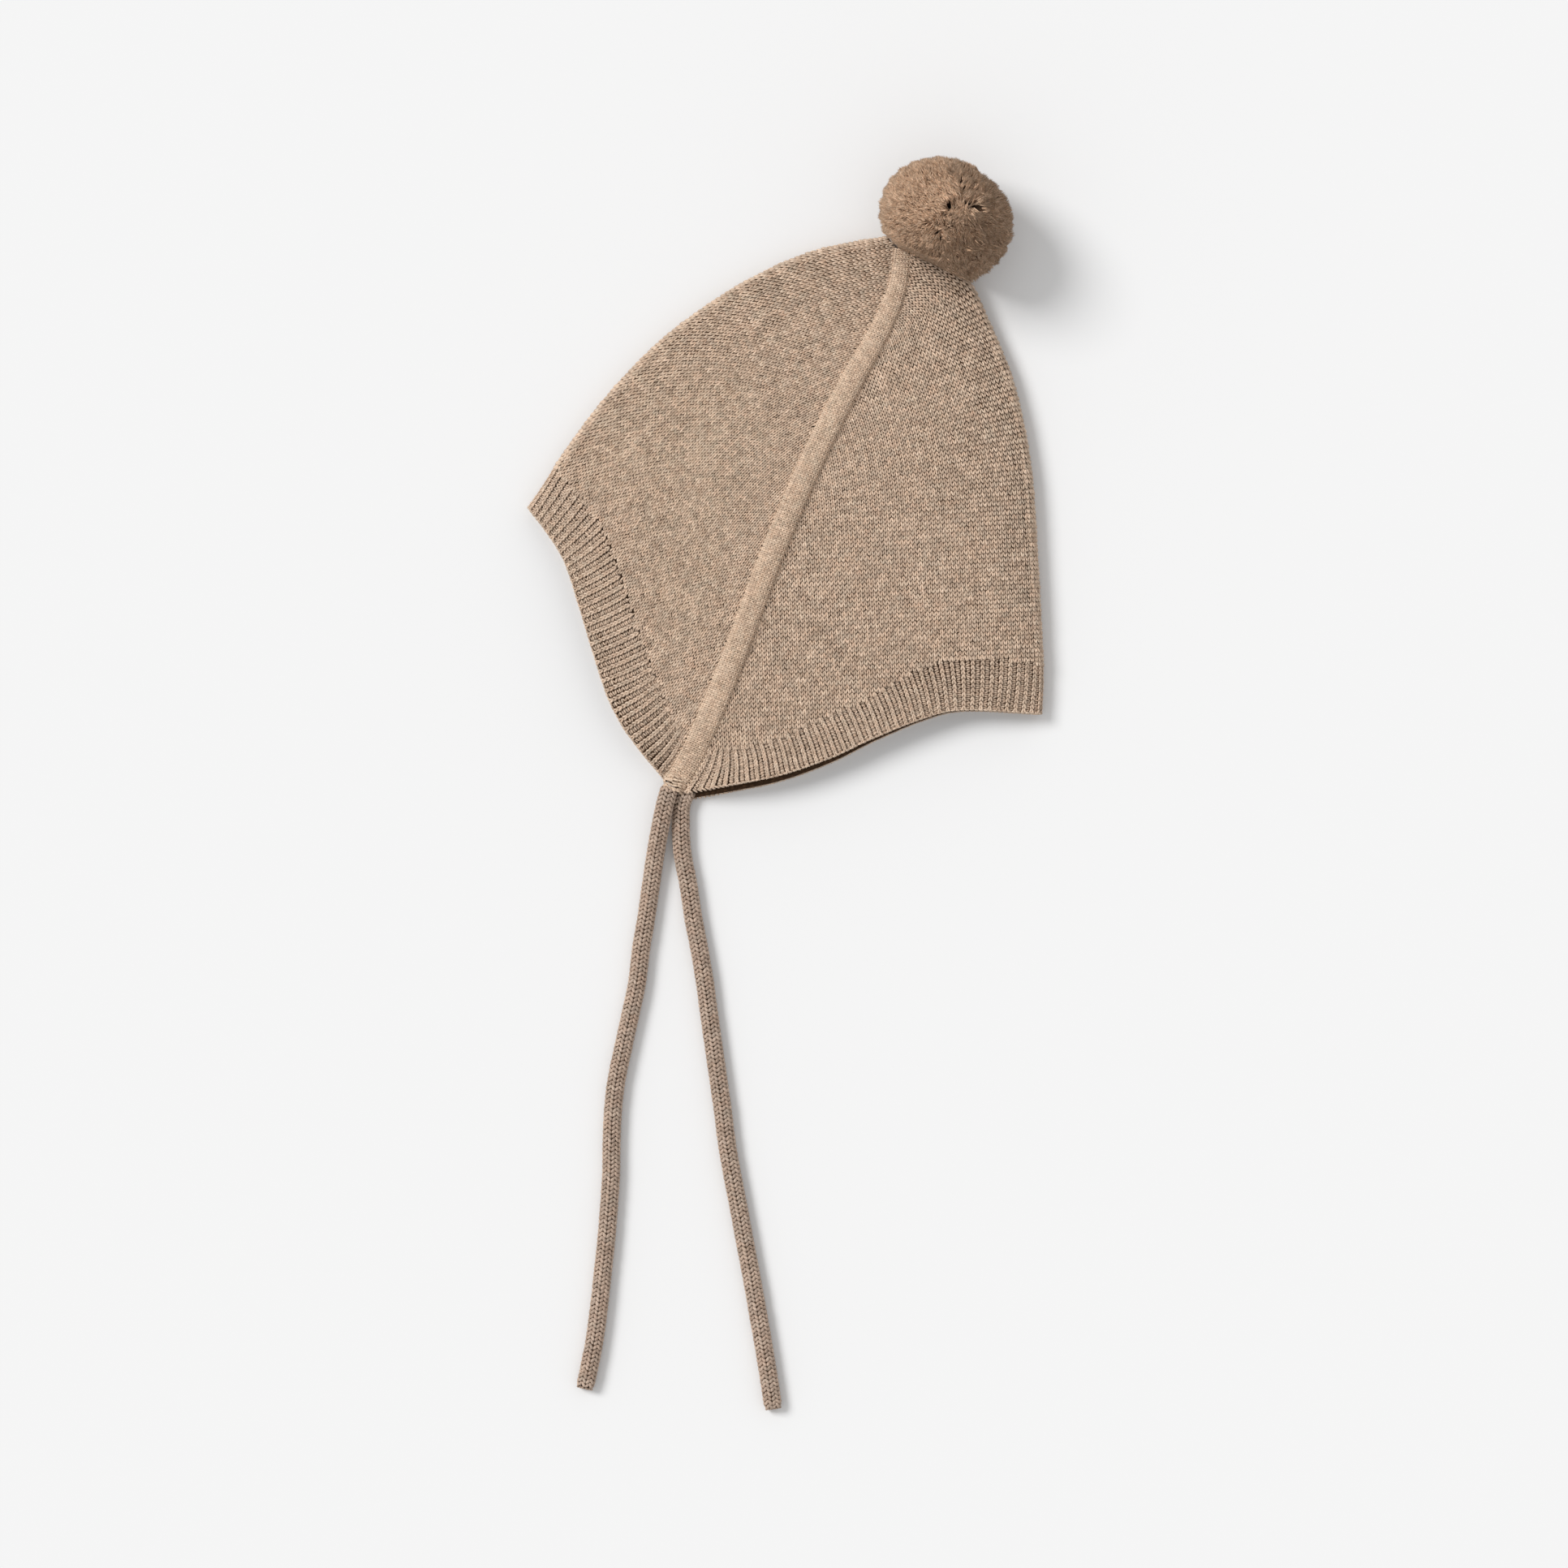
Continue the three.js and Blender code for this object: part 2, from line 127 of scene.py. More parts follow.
def smooth_points(table, steps=24):
    """Points of a centripetal curve through a table, this many steps from one to the next."""
    knots = np.array(table, float)
    first, last = 2 * knots[0] - knots[1], 2 * knots[-1] - knots[-2]
    knots = np.vstack([first, knots, last])
    share = np.linspace(0, 1, steps, endpoint=False)[:, None]
    stretches = []
    for a, b, c, d in zip(knots, knots[1:], knots[2:], knots[3:]):
        ab, bc, cd = (np.linalg.norm(q - p) ** 0.5 for p, q in ((a, b), (b, c), (c, d)))
        leave = ((b - a) / ab - (c - a) / (ab + bc) + (c - b) / bc) * bc
        arrive = ((c - b) / bc - (d - b) / (bc + cd) + (d - c) / cd) * bc
        bent = 3 * (c - b) - 2 * leave - arrive
        twisted = 2 * (b - c) + leave + arrive
        stretches.append(b + leave * share + bent * share**2 + twisted * share**3)
    return np.vstack([*stretches, knots[-2:-1]])


class Line:
    """A smooth line through a table of points, read by the distance along it."""

    def __init__(self, table):
        self.points = smooth_points(table)
        hops = np.linalg.norm(np.diff(self.points, axis=0), axis=1)
        self.along = np.concatenate([[0.0], np.cumsum(hops)])
        self.length = float(self.along[-1])
        self.row = np.linspace(0, len(table) - 1, len(self.points))

    def _place(self, distance):
        return np.stack([np.interp(distance, self.along, c) for c in self.points.T], axis=-1)

    def heading(self, distance, reach=2 * MM):
        middle = np.clip(distance, reach, self.length - reach)
        return unit(self._place(middle + reach) - self._place(middle - reach))

    def at(self, distance):
        """Points of the line, which runs on straight past its ends."""
        inside = np.clip(distance, 0, self.length)
        past = np.asarray(distance - inside)[..., None]
        return self._place(inside) + past * self.heading(inside)

    def column(self, values, distance):
        """A column of values, one for each point of the table, read between the points."""
        row = np.interp(distance, self.along, self.row)
        return np.interp(row, np.arange(len(values)), values)


def unit(arrows):
    return arrows / np.maximum(np.linalg.norm(arrows, axis=-1, keepdims=True), 1e-12)


# %% [markdown]
# ## Yarn finishes
#
# The yarn is a heather: light and dark wool fibres are carded together before spinning, so its
# shade drifts as it runs along a row and jumps from one row to the next. Each stitch therefore
# carries a small note of where its yarn is: how far along the row, which row, and a number of its
# own. A picture of wool could be wrapped on instead, but it would stretch over the folds. The
# finish reads the note, so the streaks follow the knitting, and the fibres are a fine bump on top.

# %% One heather yarn, in several shades
DEEP, MID, PALE = (0.140, 0.072, 0.034), (0.500, 0.358, 0.250), (0.835, 0.680, 0.540)
COOL, WARM = (0.620, 0.535, 0.420), (0.580, 0.400, 0.290)
SHEEN_TINT = (0.90, 0.74, 0.58, 1)
ROW_HOP = 7.31  # how far the noise jumps from one row to the next
FIBRE_BUMP = 0.12 * MM


def linked(tree, kind, **inputs):
    """A new node with its inputs set, or linked where a socket is given."""
    node = tree.nodes.new(kind)
    for name, value in inputs.items():
        socket = node.inputs[name.replace("_", " ")]
        if isinstance(value, bpy.types.NodeSocket):
            tree.links.new(value, socket)
        else:
            socket.default_value = value
    return node


def times(tree, value, factor):
    node = tree.nodes.new("ShaderNodeMath")
    node.operation = "MULTIPLY"
    tree.links.new(value, node.inputs[0])
    node.inputs[1].default_value = factor
    return node.outputs[0]


def mixed(tree, factor, one, other, blend="MIX"):
    """One colour turned into the other by a factor; each may be a socket or a value."""
    node = tree.nodes.new("ShaderNodeMix")
    node.data_type = "RGBA"
    node.blend_type = blend
    for socket, value in ((0, factor), (6, one), (7, other)):
        if isinstance(value, bpy.types.NodeSocket):
            tree.links.new(value, node.inputs[socket])
        elif socket:
            node.inputs[socket].default_value = (*value, 1)
        else:
            node.inputs[socket].default_value = value
    return node.outputs[2]


def remapped(tree, value, low, high, to_low=0.0, to_high=1.0):
    node = tree.nodes.new("ShaderNodeMapRange")
    tree.links.new(value, node.inputs["Value"])
    ends = {"From Min": low, "From Max": high, "To Min": to_low, "To Max": to_high}
    for name, number in ends.items():
        node.inputs[name].default_value = number
    return node.outputs["Result"]


def yarn_finish(name, tint, streak_mm=6, fibre_mm=0.35, spread=0.17, tones=(0.24, 0.74)):
    """Wool yarn that reads the note its stitches carry.

    The spread is how much one stitch is lighter or darker than the next, and the tones are how
    far its darkest and lightest streaks go from the middle shade to the pale one.
    """
    material = bpy.data.materials.new(name)
    material.use_nodes = True
    tree = material.node_tree
    note = tree.nodes.new("ShaderNodeAttribute")
    note.attribute_name = "yarn"
    parts = linked(tree, "ShaderNodeSeparateXYZ", Vector=note.outputs["Vector"])
    along = times(tree, parts.outputs["X"], 1 / streak_mm)
    row = times(tree, parts.outputs["Y"], ROW_HOP)
    spot = linked(tree, "ShaderNodeCombineXYZ", X=along, Y=row).outputs[0]
    streak = linked(tree, "ShaderNodeTexNoise", Vector=spot, Scale=1.0, Detail=3.0, Roughness=0.6)
    hue = linked(tree, "ShaderNodeTexNoise", Vector=spot, Scale=1.7, Detail=2.0, Roughness=0.5)
    place = tree.nodes.new("ShaderNodeTexCoord")
    fibre = linked(tree, "ShaderNodeTexNoise", Vector=place.outputs["Object"],
                   Scale=1000 / fibre_mm, Detail=3.0, Roughness=0.7)
    shade = mixed(tree, remapped(tree, streak.outputs["Fac"], 0.3, 0.7, *tones), MID, PALE)
    shade = mixed(tree, remapped(tree, hue.outputs["Fac"], 0.52, 0.70, 0, 0.40), shade, COOL)
    shade = mixed(tree, remapped(tree, hue.outputs["Fac"], 0.48, 0.30, 0, 0.40), shade, WARM)
    shade = mixed(tree, remapped(tree, fibre.outputs["Fac"], 0.52, 0.30, 0, 0.7), shade, DEEP)
    own = remapped(tree, parts.outputs["Z"], 0, 1, 1 - spread, 1 + spread)
    value = linked(tree, "ShaderNodeHueSaturation", Color=shade, Value=own)
    color = mixed(tree, 1.0, value.outputs["Color"], tint, "MULTIPLY")
    bump = linked(tree, "ShaderNodeBump", Height=fibre.outputs["Fac"],
                  Strength=0.5, Distance=FIBRE_BUMP)
    shader = tree.nodes["Principled BSDF"]
    tree.links.new(color, shader.inputs["Base Color"])
    tree.links.new(bump.outputs["Normal"], shader.inputs["Normal"])
    for socket, number in (("Roughness", 0.82), ("Specular IOR Level", 0.25),
                           ("Sheen Weight", 0.10), ("Sheen Roughness", 0.45)):
        shader.inputs[socket].default_value = number
    shader.inputs["Sheen Tint"].default_value = SHEEN_TINT
    return material


panel_yarn = yarn_finish("panel_yarn", tint=(1.04, 1.03, 1.03))
rib_yarn = yarn_finish("rib_yarn", tint=(1.02, 1.01, 1.01))
cord_yarn = yarn_finish("cord_yarn", tint=(1.06, 1.04, 1.02))
tie_yarn = yarn_finish("tie_yarn", tint=(0.73, 0.71, 0.73), streak_mm=5)
pompom_yarn = yarn_finish("pompom_yarn", tint=(0.92, 0.805, 0.715), fibre_mm=0.5,
                          spread=0.42, tones=(-0.6, 1.5))
print("yarn finishes:", [m.name for m in bpy.data.materials if m.name.endswith("yarn")])

# %% [markdown]
# The cloth behind the stitches is the same wool, painted a dark brown as the shade that fills the
# gaps between the stitches. On the inside of a bonnet the loops of the knit show as small bumps,
# so this finish has small round cells that bulge, with painted shade at their edges. The core of
# the pompom wears it too, with smaller cells, and is painted darker in its hollows as their shade.

# %% The cloth behind the stitches, in painted shade
FIBRE_GRAIN = 3000.0  # fibres to a metre


def backing_with_painted_shade(name, color, loop_mm=1.65, painted_hollow_shade=None):
    """Loops of wool in painted shade, going over to a painted hollow shade where the deep attribute
    is 1.
    """
    material = bpy.data.materials.new(name)
    material.use_nodes = True
    tree = material.node_tree
    place = tree.nodes.new("ShaderNodeTexCoord")
    place = place.outputs["Object"]
    cell = linked(tree, "ShaderNodeTexVoronoi", Vector=place, Scale=1000 / loop_mm)
    fibre = linked(tree, "ShaderNodeTexNoise", Vector=place, Scale=FIBRE_GRAIN, Detail=3.0)
    # The cells are painted darker towards their edges, as shade between the loops; the fine fibres
    # are darker here and there at random.
    dark_fibres_and_painted_shade = tuple(0.45 * c for c in color)
    shade = mixed(tree, remapped(tree, cell.outputs["Distance"], 0.1, 0.6), color, dark_fibres_and_painted_shade)
    shade = mixed(tree, remapped(tree, fibre.outputs["Fac"], 0.4, 0.65, 0, 0.6), shade, dark_fibres_and_painted_shade)
    # Where the deep attribute says, the colour goes over to a painted shade of the hollows.
    if painted_hollow_shade:
        deep = tree.nodes.new("ShaderNodeAttribute")
        deep.attribute_name = "deep"
        shade = mixed(tree, deep.outputs["Fac"], shade, painted_hollow_shade)
    bump = linked(tree, "ShaderNodeBump", Height=cell.outputs["Distance"],
                  Strength=0.8, Distance=0.4 * MM)
    bump.invert = True
    shader = tree.nodes["Principled BSDF"]
    tree.links.new(shade, shader.inputs["Base Color"])
    tree.links.new(bump.outputs["Normal"], shader.inputs["Normal"])
    for socket, number in (("Roughness", 0.9), ("Specular IOR Level", 0.1), ("Sheen Weight", 0.05)):
        shader.inputs[socket].default_value = number
    return material


# The dark brown of this cloth is painted shade: it shows only in the gaps between the stitches.
painted_shade_backing = backing_with_painted_shade("wool_backing_painted_shade", (0.125, 0.066, 0.034))
# The core of the pompom is painted dark brown as the shade among its strands, and near black in its
# hollows as their shade.
pompom_inside = backing_with_painted_shade(
    "pompom_inside", (0.26, 0.155, 0.095), loop_mm=0.7, painted_hollow_shade=(0.018, 0.010, 0.006))
print("backings:", painted_shade_backing.name, "and", pompom_inside.name)

# %% [markdown]
# ## One stitch leg, copied many times
#
# A knitted stitch shows as two legs of yarn that lean together. One leg is modelled once: a small
# ball with few faces, which every copy draws out into a spindle. A bump on a flat cloth would be
# lighter, but it would have no outline at the folds. The copies of one part of the bonnet are
# joined into one mesh, each of them turned to lie along its own stitch. There are a plain leg, a
# rounder one for the thick yarn of the ties, and a simple one for the side on the table.

# %% The stitch leg and its copies


def taken_apart(model):
    """Corners and faces of a model, which is then thrown away."""
    corners = np.array([v.co for v in model.data.vertices])
    faces = [list(p.vertices) for p in model.data.polygons]
    bpy.data.objects.remove(model)
    return corners, faces


def model_of(sides, rings):
    """Corners and faces of one spindle that is 2 long, 2 wide and 2 thick, along Y."""
    bpy.ops.object.select_all(action="DESELECT")
    bpy.ops.mesh.primitive_uv_sphere_add(segments=sides, ring_count=rings, radius=1)
    bpy.ops.object.mode_set(mode="EDIT")
    bpy.ops.transform.rotate(value=math.pi / 2, orient_axis="X", center_override=(0, 0, 0))
    bpy.ops.object.mode_set(mode="OBJECT")
    return taken_apart(bpy.context.object)


def model_of_two_pyramids():
    """The simplest spindle, of 8 triangles, for the side that lies on the table."""
    bpy.ops.object.select_all(action="DESELECT")
    bpy.ops.mesh.primitive_cone_add(
        vertices=4, radius1=1, radius2=0, depth=1, end_fill_type="NOTHING", location=(0, 0, 0.5))
    bpy.ops.object.transform_apply(location=True)
    bpy.ops.object.modifier_add(type="MIRROR")
    mirror = bpy.context.object.modifiers[0]
    mirror.use_axis = (False, False, True)
    bpy.ops.object.modifier_apply(modifier=mirror.name)
    bpy.ops.object.mode_set(mode="EDIT")
    bpy.ops.mesh.select_all(action="SELECT")
    bpy.ops.transform.rotate(value=math.pi / 2, orient_axis="X", center_override=(0, 0, 0))
    bpy.ops.mesh.normals_make_consistent(inside=False)
    bpy.ops.object.mode_set(mode="OBJECT")
    return taken_apart(bpy.context.object)


LEG = model_of(4, 3)
FAT_LEG = model_of(6, 3)
LOW_LEG = model_of_two_pyramids()
print("faces of the legs:", len(LEG[1]), len(FAT_LEG[1]), len(LOW_LEG[1]))
chance = np.random.default_rng(7)


class Copies:
    """Copies of a small model that end up as one joined mesh."""

    def __init__(self, model):
        self.corners, self.faces = model
        self.places, self.notes = [], []

    def add(self, centre, across, along, out, size, note):
        size = np.broadcast_to(size, centre.shape)
        local = self.corners[None] * size[:, None]
        spots = centre[:, None] + local[..., 0:1] * across[:, None]
        spots = spots + local[..., 1:2] * along[:, None] + local[..., 2:3] * out[:, None]
        self.places.append(spots.reshape(-1, 3))
        self.notes.append(np.repeat(note, len(self.corners), axis=0))

    def joined(self, name, finish, slot, *replaced):
        places, notes = np.vstack(self.places), np.vstack(self.notes)
        count, step = len(places) // len(self.corners), len(self.corners)
        faces = [[c + i * step for c in f] for i in range(count) for f in self.faces]
        mesh = bpy.data.meshes.new(name)
        mesh.from_pydata(places.tolist(), [], faces)
        yarn = mesh.attributes.new("yarn", "FLOAT_VECTOR", "POINT")
        yarn.data.foreach_set("vector", notes.ravel())
        mesh.shade_smooth()
        mesh.materials.append(finish)
        piece = bpy.data.objects.new(name, mesh)
        bpy.context.collection.objects.link(piece)
        triangles = sum(len(f) - 2 for f in faces)
        print(f"{name}: {count} copies, {triangles} triangles")
        return placed(piece, slot, *replaced)


def placed(piece, slot, *replaced):
    """The piece rides with the bonnet and hides the CAD parts it replaces. The slot is not used."""
    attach(piece, "root")
    if replaced:
        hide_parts(*replaced)
    return piece


# The notes of each part start at a row number of their own, so that no two parts share streaks.
FIRST_ROW = {"edge": 380, "rib": 400, "cord": 700, "seam": 900, "tack": 950}


def jitter(count, spread):
    """A factor near 1 for each of many copies, so that no two are quite alike."""
    return 1 + spread * chance.standard_normal((count, 1))


# %% [markdown]
# ## The ties
#
# Each tie is a narrow knitted tube that lies on the table from its ear tip to a bare cast-off
# end. It is limp, so it follows a loose line. First comes a plain tube along the route, a little
# thinner than the tie, and then six columns of plump stitches round it.

# %% The routes of the ties
TIE_WIDTH, TIE_HEIGHT = 0.0066, 0.0052
NEAR_TIE = [
    (-0.0432, -0.1144, 0.0052), (-0.0448, -0.12, 0.0057), (-0.0461, -0.126, 0.0056),
    (-0.0483, -0.138, 0.0034), (-0.0501, -0.15, 0.0026), (-0.0518, -0.162, 0.0026),
    (-0.0538, -0.174, 0.0026), (-0.0552, -0.186, 0.0026), (-0.0577, -0.198, 0.0026),
    (-0.0603, -0.21, 0.0026), (-0.0628, -0.222, 0.0026), (-0.0642, -0.234, 0.0026),
    (-0.0647, -0.246, 0.0026), (-0.0649, -0.258, 0.0026), (-0.0657, -0.27, 0.0026),
    (-0.0667, -0.282, 0.0026), (-0.068, -0.294, 0.0026), (-0.0693, -0.306, 0.0026),
    (-0.0709, -0.318, 0.0026), (-0.0732, -0.33, 0.0026), (-0.0747, -0.3366, 0.0026),
]
FAR_TIE = [
    (-0.0364, -0.1148, 0.0028), (-0.0386, -0.1196, 0.0026), (-0.0391, -0.126, 0.0026),
    (-0.0385, -0.138, 0.0026), (-0.0363, -0.15, 0.0026), (-0.0345, -0.162, 0.0026),
    (-0.0322, -0.174, 0.0026),
    (-0.0302, -0.186, 0.0026), (-0.0286, -0.198, 0.0026), (-0.0269, -0.21, 0.0026),
    (-0.0252, -0.222, 0.0026), (-0.0235, -0.234, 0.0026), (-0.022, -0.246, 0.0026),
    (-0.0199, -0.258, 0.0026), (-0.0176, -0.27, 0.0026), (-0.0154, -0.282, 0.0026),
    (-0.0131, -0.294, 0.0026), (-0.011, -0.306, 0.0026), (-0.0089, -0.318, 0.0026),
    (-0.0069, -0.33, 0.0026), (-0.0048, -0.3441, 0.0026),
]

# %% A tube along a route


def shaped_grid(name, across, along, place, finish):
    """A grid of faces whose corners go where place(a, b) says, for shares a across and b along."""
    bpy.ops.object.select_all(action="DESELECT")
    bpy.ops.mesh.primitive_grid_add(x_subdivisions=across, y_subdivisions=along, size=1)
    piece = bpy.context.object
    piece.name = piece.data.name = name
    flat = np.array([v.co for v in piece.data.vertices])
    piece.data.vertices.foreach_set("co", place(flat[:, 0] + 0.5, flat[:, 1] + 0.5).ravel())
    piece.data.materials.append(finish)
    return piece


def closed_up(piece):
    """A piece whose doubles are merged and whose normals point outwards."""
    bpy.ops.object.select_all(action="DESELECT")
    piece.select_set(True)
    bpy.context.view_layer.objects.active = piece
    bpy.ops.object.mode_set(mode="EDIT")
    bpy.ops.mesh.select_all(action="SELECT")
    bpy.ops.mesh.remove_doubles(threshold=0.004 * MM)
    bpy.ops.mesh.normals_make_consistent(inside=False)
    bpy.ops.object.mode_set(mode="OBJECT")
    bpy.ops.object.shade_smooth()
    return piece


TIE_START, TIE_END = 0.5 * MM, 2.6 * MM  # its free end draws in to a rounded tip
CORE_SUNK = 0.55 * MM
CORE_SIDES, CORE_STEP = 14, 2 * MM


def drawn_in(share):
    """A quarter round from 0 to 1, which closes the end of a tie."""
    return np.sqrt(1 - (1 - np.clip(share, 0, 1)) ** 2)


def tie_skin(route, distance, turn, sink):
    """Points round a tie: turn goes round its flattened section, sink goes in from its surface."""
    centre, heading = route.at(distance), route.heading(distance)
    left = unit(np.column_stack([-heading[:, 1], heading[:, 0], np.zeros(len(heading))]))
    up = np.cross(heading, left)
    drawn = drawn_in(distance / TIE_START) * drawn_in((route.length - distance) / TIE_END)
    wide = (TIE_WIDTH / 2 - sink) * drawn * np.cos(turn)
    high = (TIE_HEIGHT / 2 - sink) * drawn * np.sin(turn)
    return centre + left * wide[:, None] + up * high[:, None]


def tie_core(name, route):
    def place(a, b):
        return tie_skin(route, b * route.length, a * 2 * math.pi, CORE_SUNK)

    steps = round(route.length / CORE_STEP)
    # The tube wears the cloth behind the stitches, painted dark as their shade.
    return closed_up(shaped_grid(name, CORE_SIDES, steps, place, painted_shade_backing))


# %% [markdown]
# Every leg of a stitch needs three directions: along its yarn, across it and out of the cloth.
# They are worked out from the surface itself, by looking a short step ahead and a short step
# aside, so the same few lines serve the ties, the panels, the ribs and the cords.

# %% Stitches round a tie
TIE_COLUMNS, TIE_ROW = 6, 1.6 * MM
TIE_LEG = np.array([0.72, 1.45, 0.60]) * MM
TIE_LEG_APART, TIE_LEG_TILT, TIE_LEG_DIVE = 0.235, math.radians(40), -0.25
TIE_LEG_SUNK, TIE_BARE_END = 0.4 * MM, 0.9 * MM
END_LEGS, END_LEG_APART, END_LEG_LEAN = 6, 0.36, 0.35
END_LEG = np.array([0.70 * MM, 0.42 * TIE_HEIGHT, 0.60 * MM])
END_BACK, END_STREAK = 0.5 * MM, 20  # legs this far back from the end, and their share of a streak


def lean(across, along, out, tilt, dive=0.0):
    """Axes of a leg that leans by tilt towards across and dives at its leading end."""
    tilt = np.broadcast_to(tilt, len(along))[:, None]
    lengthways = unit(along * np.cos(tilt) + across * np.sin(tilt) - out * dive)
    sideways = unit(np.cross(lengthways, out))
    return sideways, lengthways, np.cross(sideways, lengthways)


def axes_on(skin, one, other, step=0.3 * MM):
    """Axes on a surface: along its first measure, and across along its second."""
    along = unit(skin(one + step, other) - skin(one - step, other))
    across = unit(skin(one, other + step) - skin(one, other - step))
    return across, along, unit(np.cross(across, along))


def knit_tie(name, route):
    rows = np.arange(TIE_BARE_END, route.length - TIE_BARE_END, TIE_ROW)
    row, column = (x.ravel() for x in np.meshgrid(np.arange(len(rows)), np.arange(TIE_COLUMNS)))
    girth = math.pi * (TIE_WIDTH + TIE_HEIGHT) / 2
    stitches = Copies(FAT_LEG)

    def skin(distance, round_about):
        return tie_skin(route, distance, round_about / girth * 2 * math.pi, TIE_LEG_SUNK)

    for side in (-1, 1):
        distance = rows[row] + 0.06 * MM * chance.standard_normal(len(row))
        round_about = (column + side * TIE_LEG_APART) * girth / TIE_COLUMNS
        rough, along, _ = axes_on(skin, distance, round_about)
        # A turn runs clockwise from the heading, so the outward axis is taken from the middle.
        centre = skin(distance, round_about)
        out = unit(centre - route.at(distance))
        across = unit(np.cross(along, out))
        tilted = side * np.sign((across * rough).sum(1)) * TIE_LEG_TILT
        axes = lean(across, along, out, tilted, dive=TIE_LEG_DIVE)
        size = TIE_LEG * jitter(len(row), 0.05)
        note = np.stack([distance / MM, column * 3.0, chance.random(len(row))], axis=1)
        stitches.add(centre, *axes, size, note)
    add_end_legs(stitches, route)
    return stitches.joined(name + "_stitches", tie_yarn, "tie_knit")


def add_end_legs(stitches, route):
    """A few legs stand across the end, where the last row is cast off and drawn shut."""
    end = route.at(np.array([route.length - END_BACK]))
    ahead = unit(end - route.at(np.array([route.length - END_BACK - MM])))
    beside = unit(np.cross([[0, 0, 1]], ahead))
    share = np.linspace(-END_LEG_APART, END_LEG_APART, END_LEGS)[:, None]
    upright = unit(np.array([[0, 0, 1]]) + END_LEG_LEAN * beside * np.sign(share))
    beside = unit(np.cross(upright, ahead))
    size = END_LEG * np.sqrt(1 - share**2)
    note = np.column_stack([END_STREAK * share, np.zeros(END_LEGS), chance.random(END_LEGS)])
    centre = end + beside * share * TIE_WIDTH
    stitches.add(centre, beside, upright, np.cross(beside, upright), size, note)


for name, table in (("tie_near", NEAR_TIE), ("tie_far", FAR_TIE)):
    route = Line(table)
    core = placed(tie_core(name + "_tube", route), "tie_knit", name)
    stitches = knit_tie(name, route)
    path = route.at(np.linspace(0, route.length, 160))
    tuple(path[0])
    print(name, "is", round(route.length / MM), "mm long")

# %% [markdown]
# ## The shape of the folded cloth
#
# The far layer lies on the table and the near layer arches over it. Its height rises from both
# folds, from the mouth and from the ear tip towards one smooth crown, and the far ear tip has
# slid a little way out from under the near one. Both layers of a piece are one surface, because
# the cloth runs round the fold without a seam.

# %% Tables of the bonnet's lines
FRONT_FOLD_RIB = [(-0.0957, -0.0105), (-0.0902, -0.0026), (-0.0854, 0.0052)]
FRONT_FOLD = [
    (-0.0854, 0.0052), (-0.0765, 0.018), (-0.0618, 0.036), (-0.0432, 0.054), (-0.0171, 0.072),
    (0.0093, 0.084), (0.0372, 0.0898),
]
BACK_FOLD_RIB = [(0.0945, -0.0868), (0.095, -0.077), (0.095, -0.0675)]
BACK_FOLD = [
    (0.095, -0.0675), (0.093, -0.03), (0.0902, 0.006), (0.0839, 0.036), (0.075, 0.058),
    (0.0658, 0.076), (0.0495, 0.0886),
]
FACE_EDGE = [
    (-0.0957, -0.0105), (-0.0897, -0.018), (-0.0822, -0.03), (-0.0762, -0.048), (-0.0708, -0.066),
    (-0.0645, -0.084), (-0.0565, -0.097),
]
FACE_SEAM = [(-0.0854, 0.0052), (-0.0672, -0.0183), (-0.0579, -0.0432), (-0.0486, -0.0714)]
NECK_EDGE = [
    (0.0945, -0.0868), (0.0627, -0.0856), (0.0507, -0.0885), (0.0309, -0.0963), (0.0168, -0.1029),
    (-0.003, -0.1096), (-0.0228, -0.1134),
]
NECK_SEAM = [
    (0.095, -0.0675), (0.073, -0.0656), (0.0549, -0.0675), (0.0315, -0.0795), (0.0111, -0.0888),
    (-0.0078, -0.0966),
]
# Along the side cord: place, width, how far the near one stands up and the far one stands in.
SIDE_CORD = [
    (-0.0418, -0.1128, 0.0096, 0.0009, 0.0003), (-0.036, -0.1044, 0.0094, 0.0014, 0.0008),
    (-0.0204, -0.0684, 0.009, 0.0024, 0.002), (-0.0045, -0.0261, 0.009, 0.0026, 0.0024),
    (0.0111, 0.0099, 0.009, 0.0026, 0.0024), (0.0237, 0.0351, 0.0088, 0.0025, 0.0022),
    (0.0342, 0.054, 0.008, 0.0023, 0.0016), (0.0408, 0.0696, 0.0072, 0.0017, 0.0008),
    (0.0432, 0.086, 0.0068, 0.0004, 0.0003),
]
CORD_WIDTH, CORD_PROUD, CORD_INWARD = (list(column) for column in list(zip(*SIDE_CORD))[2:])
GAP = 0.4 * MM
PANEL_WALL = 1.8 * MM
SEAM_AT = 0.078  # share of the side cord between the ribs

# %% [markdown]
# The tables become lines once, and everything else reads these lines. Places beside the side
# cord are given by a share of its length and a distance out to its left, because both panels and
# both ribs end at the cord.

# %% Lines made from the tables
front_fold, back_fold = Line(FRONT_FOLD), Line(BACK_FOLD)
front_fold_rib, back_fold_rib = Line(FRONT_FOLD_RIB), Line(BACK_FOLD_RIB)
cord_line = Line([row[:2] for row in SIDE_CORD])
front_fold_points = np.vstack([front_fold_rib.points, front_fold.points])
back_fold_points = np.vstack([back_fold_rib.points, back_fold.points])
mouth_points = np.vstack([Line(FACE_EDGE).points, Line(NECK_EDGE).points])
EAR_TIP = np.array(SIDE_CORD[0][:2])
print("side cord", round(cord_line.length / MM), "mm")


def beside_cord(share, out):
    """Points beside the side cord's line, out to its left."""
    distance = share * cord_line.length
    heading = cord_line.heading(distance)
    left = np.stack([-heading[..., 1], heading[..., 0]], axis=-1)
    return cord_line.at(distance) + left * np.asarray(out)[..., None]


def cord_size(column, share):
    return cord_line.column(column, share * cord_line.length)


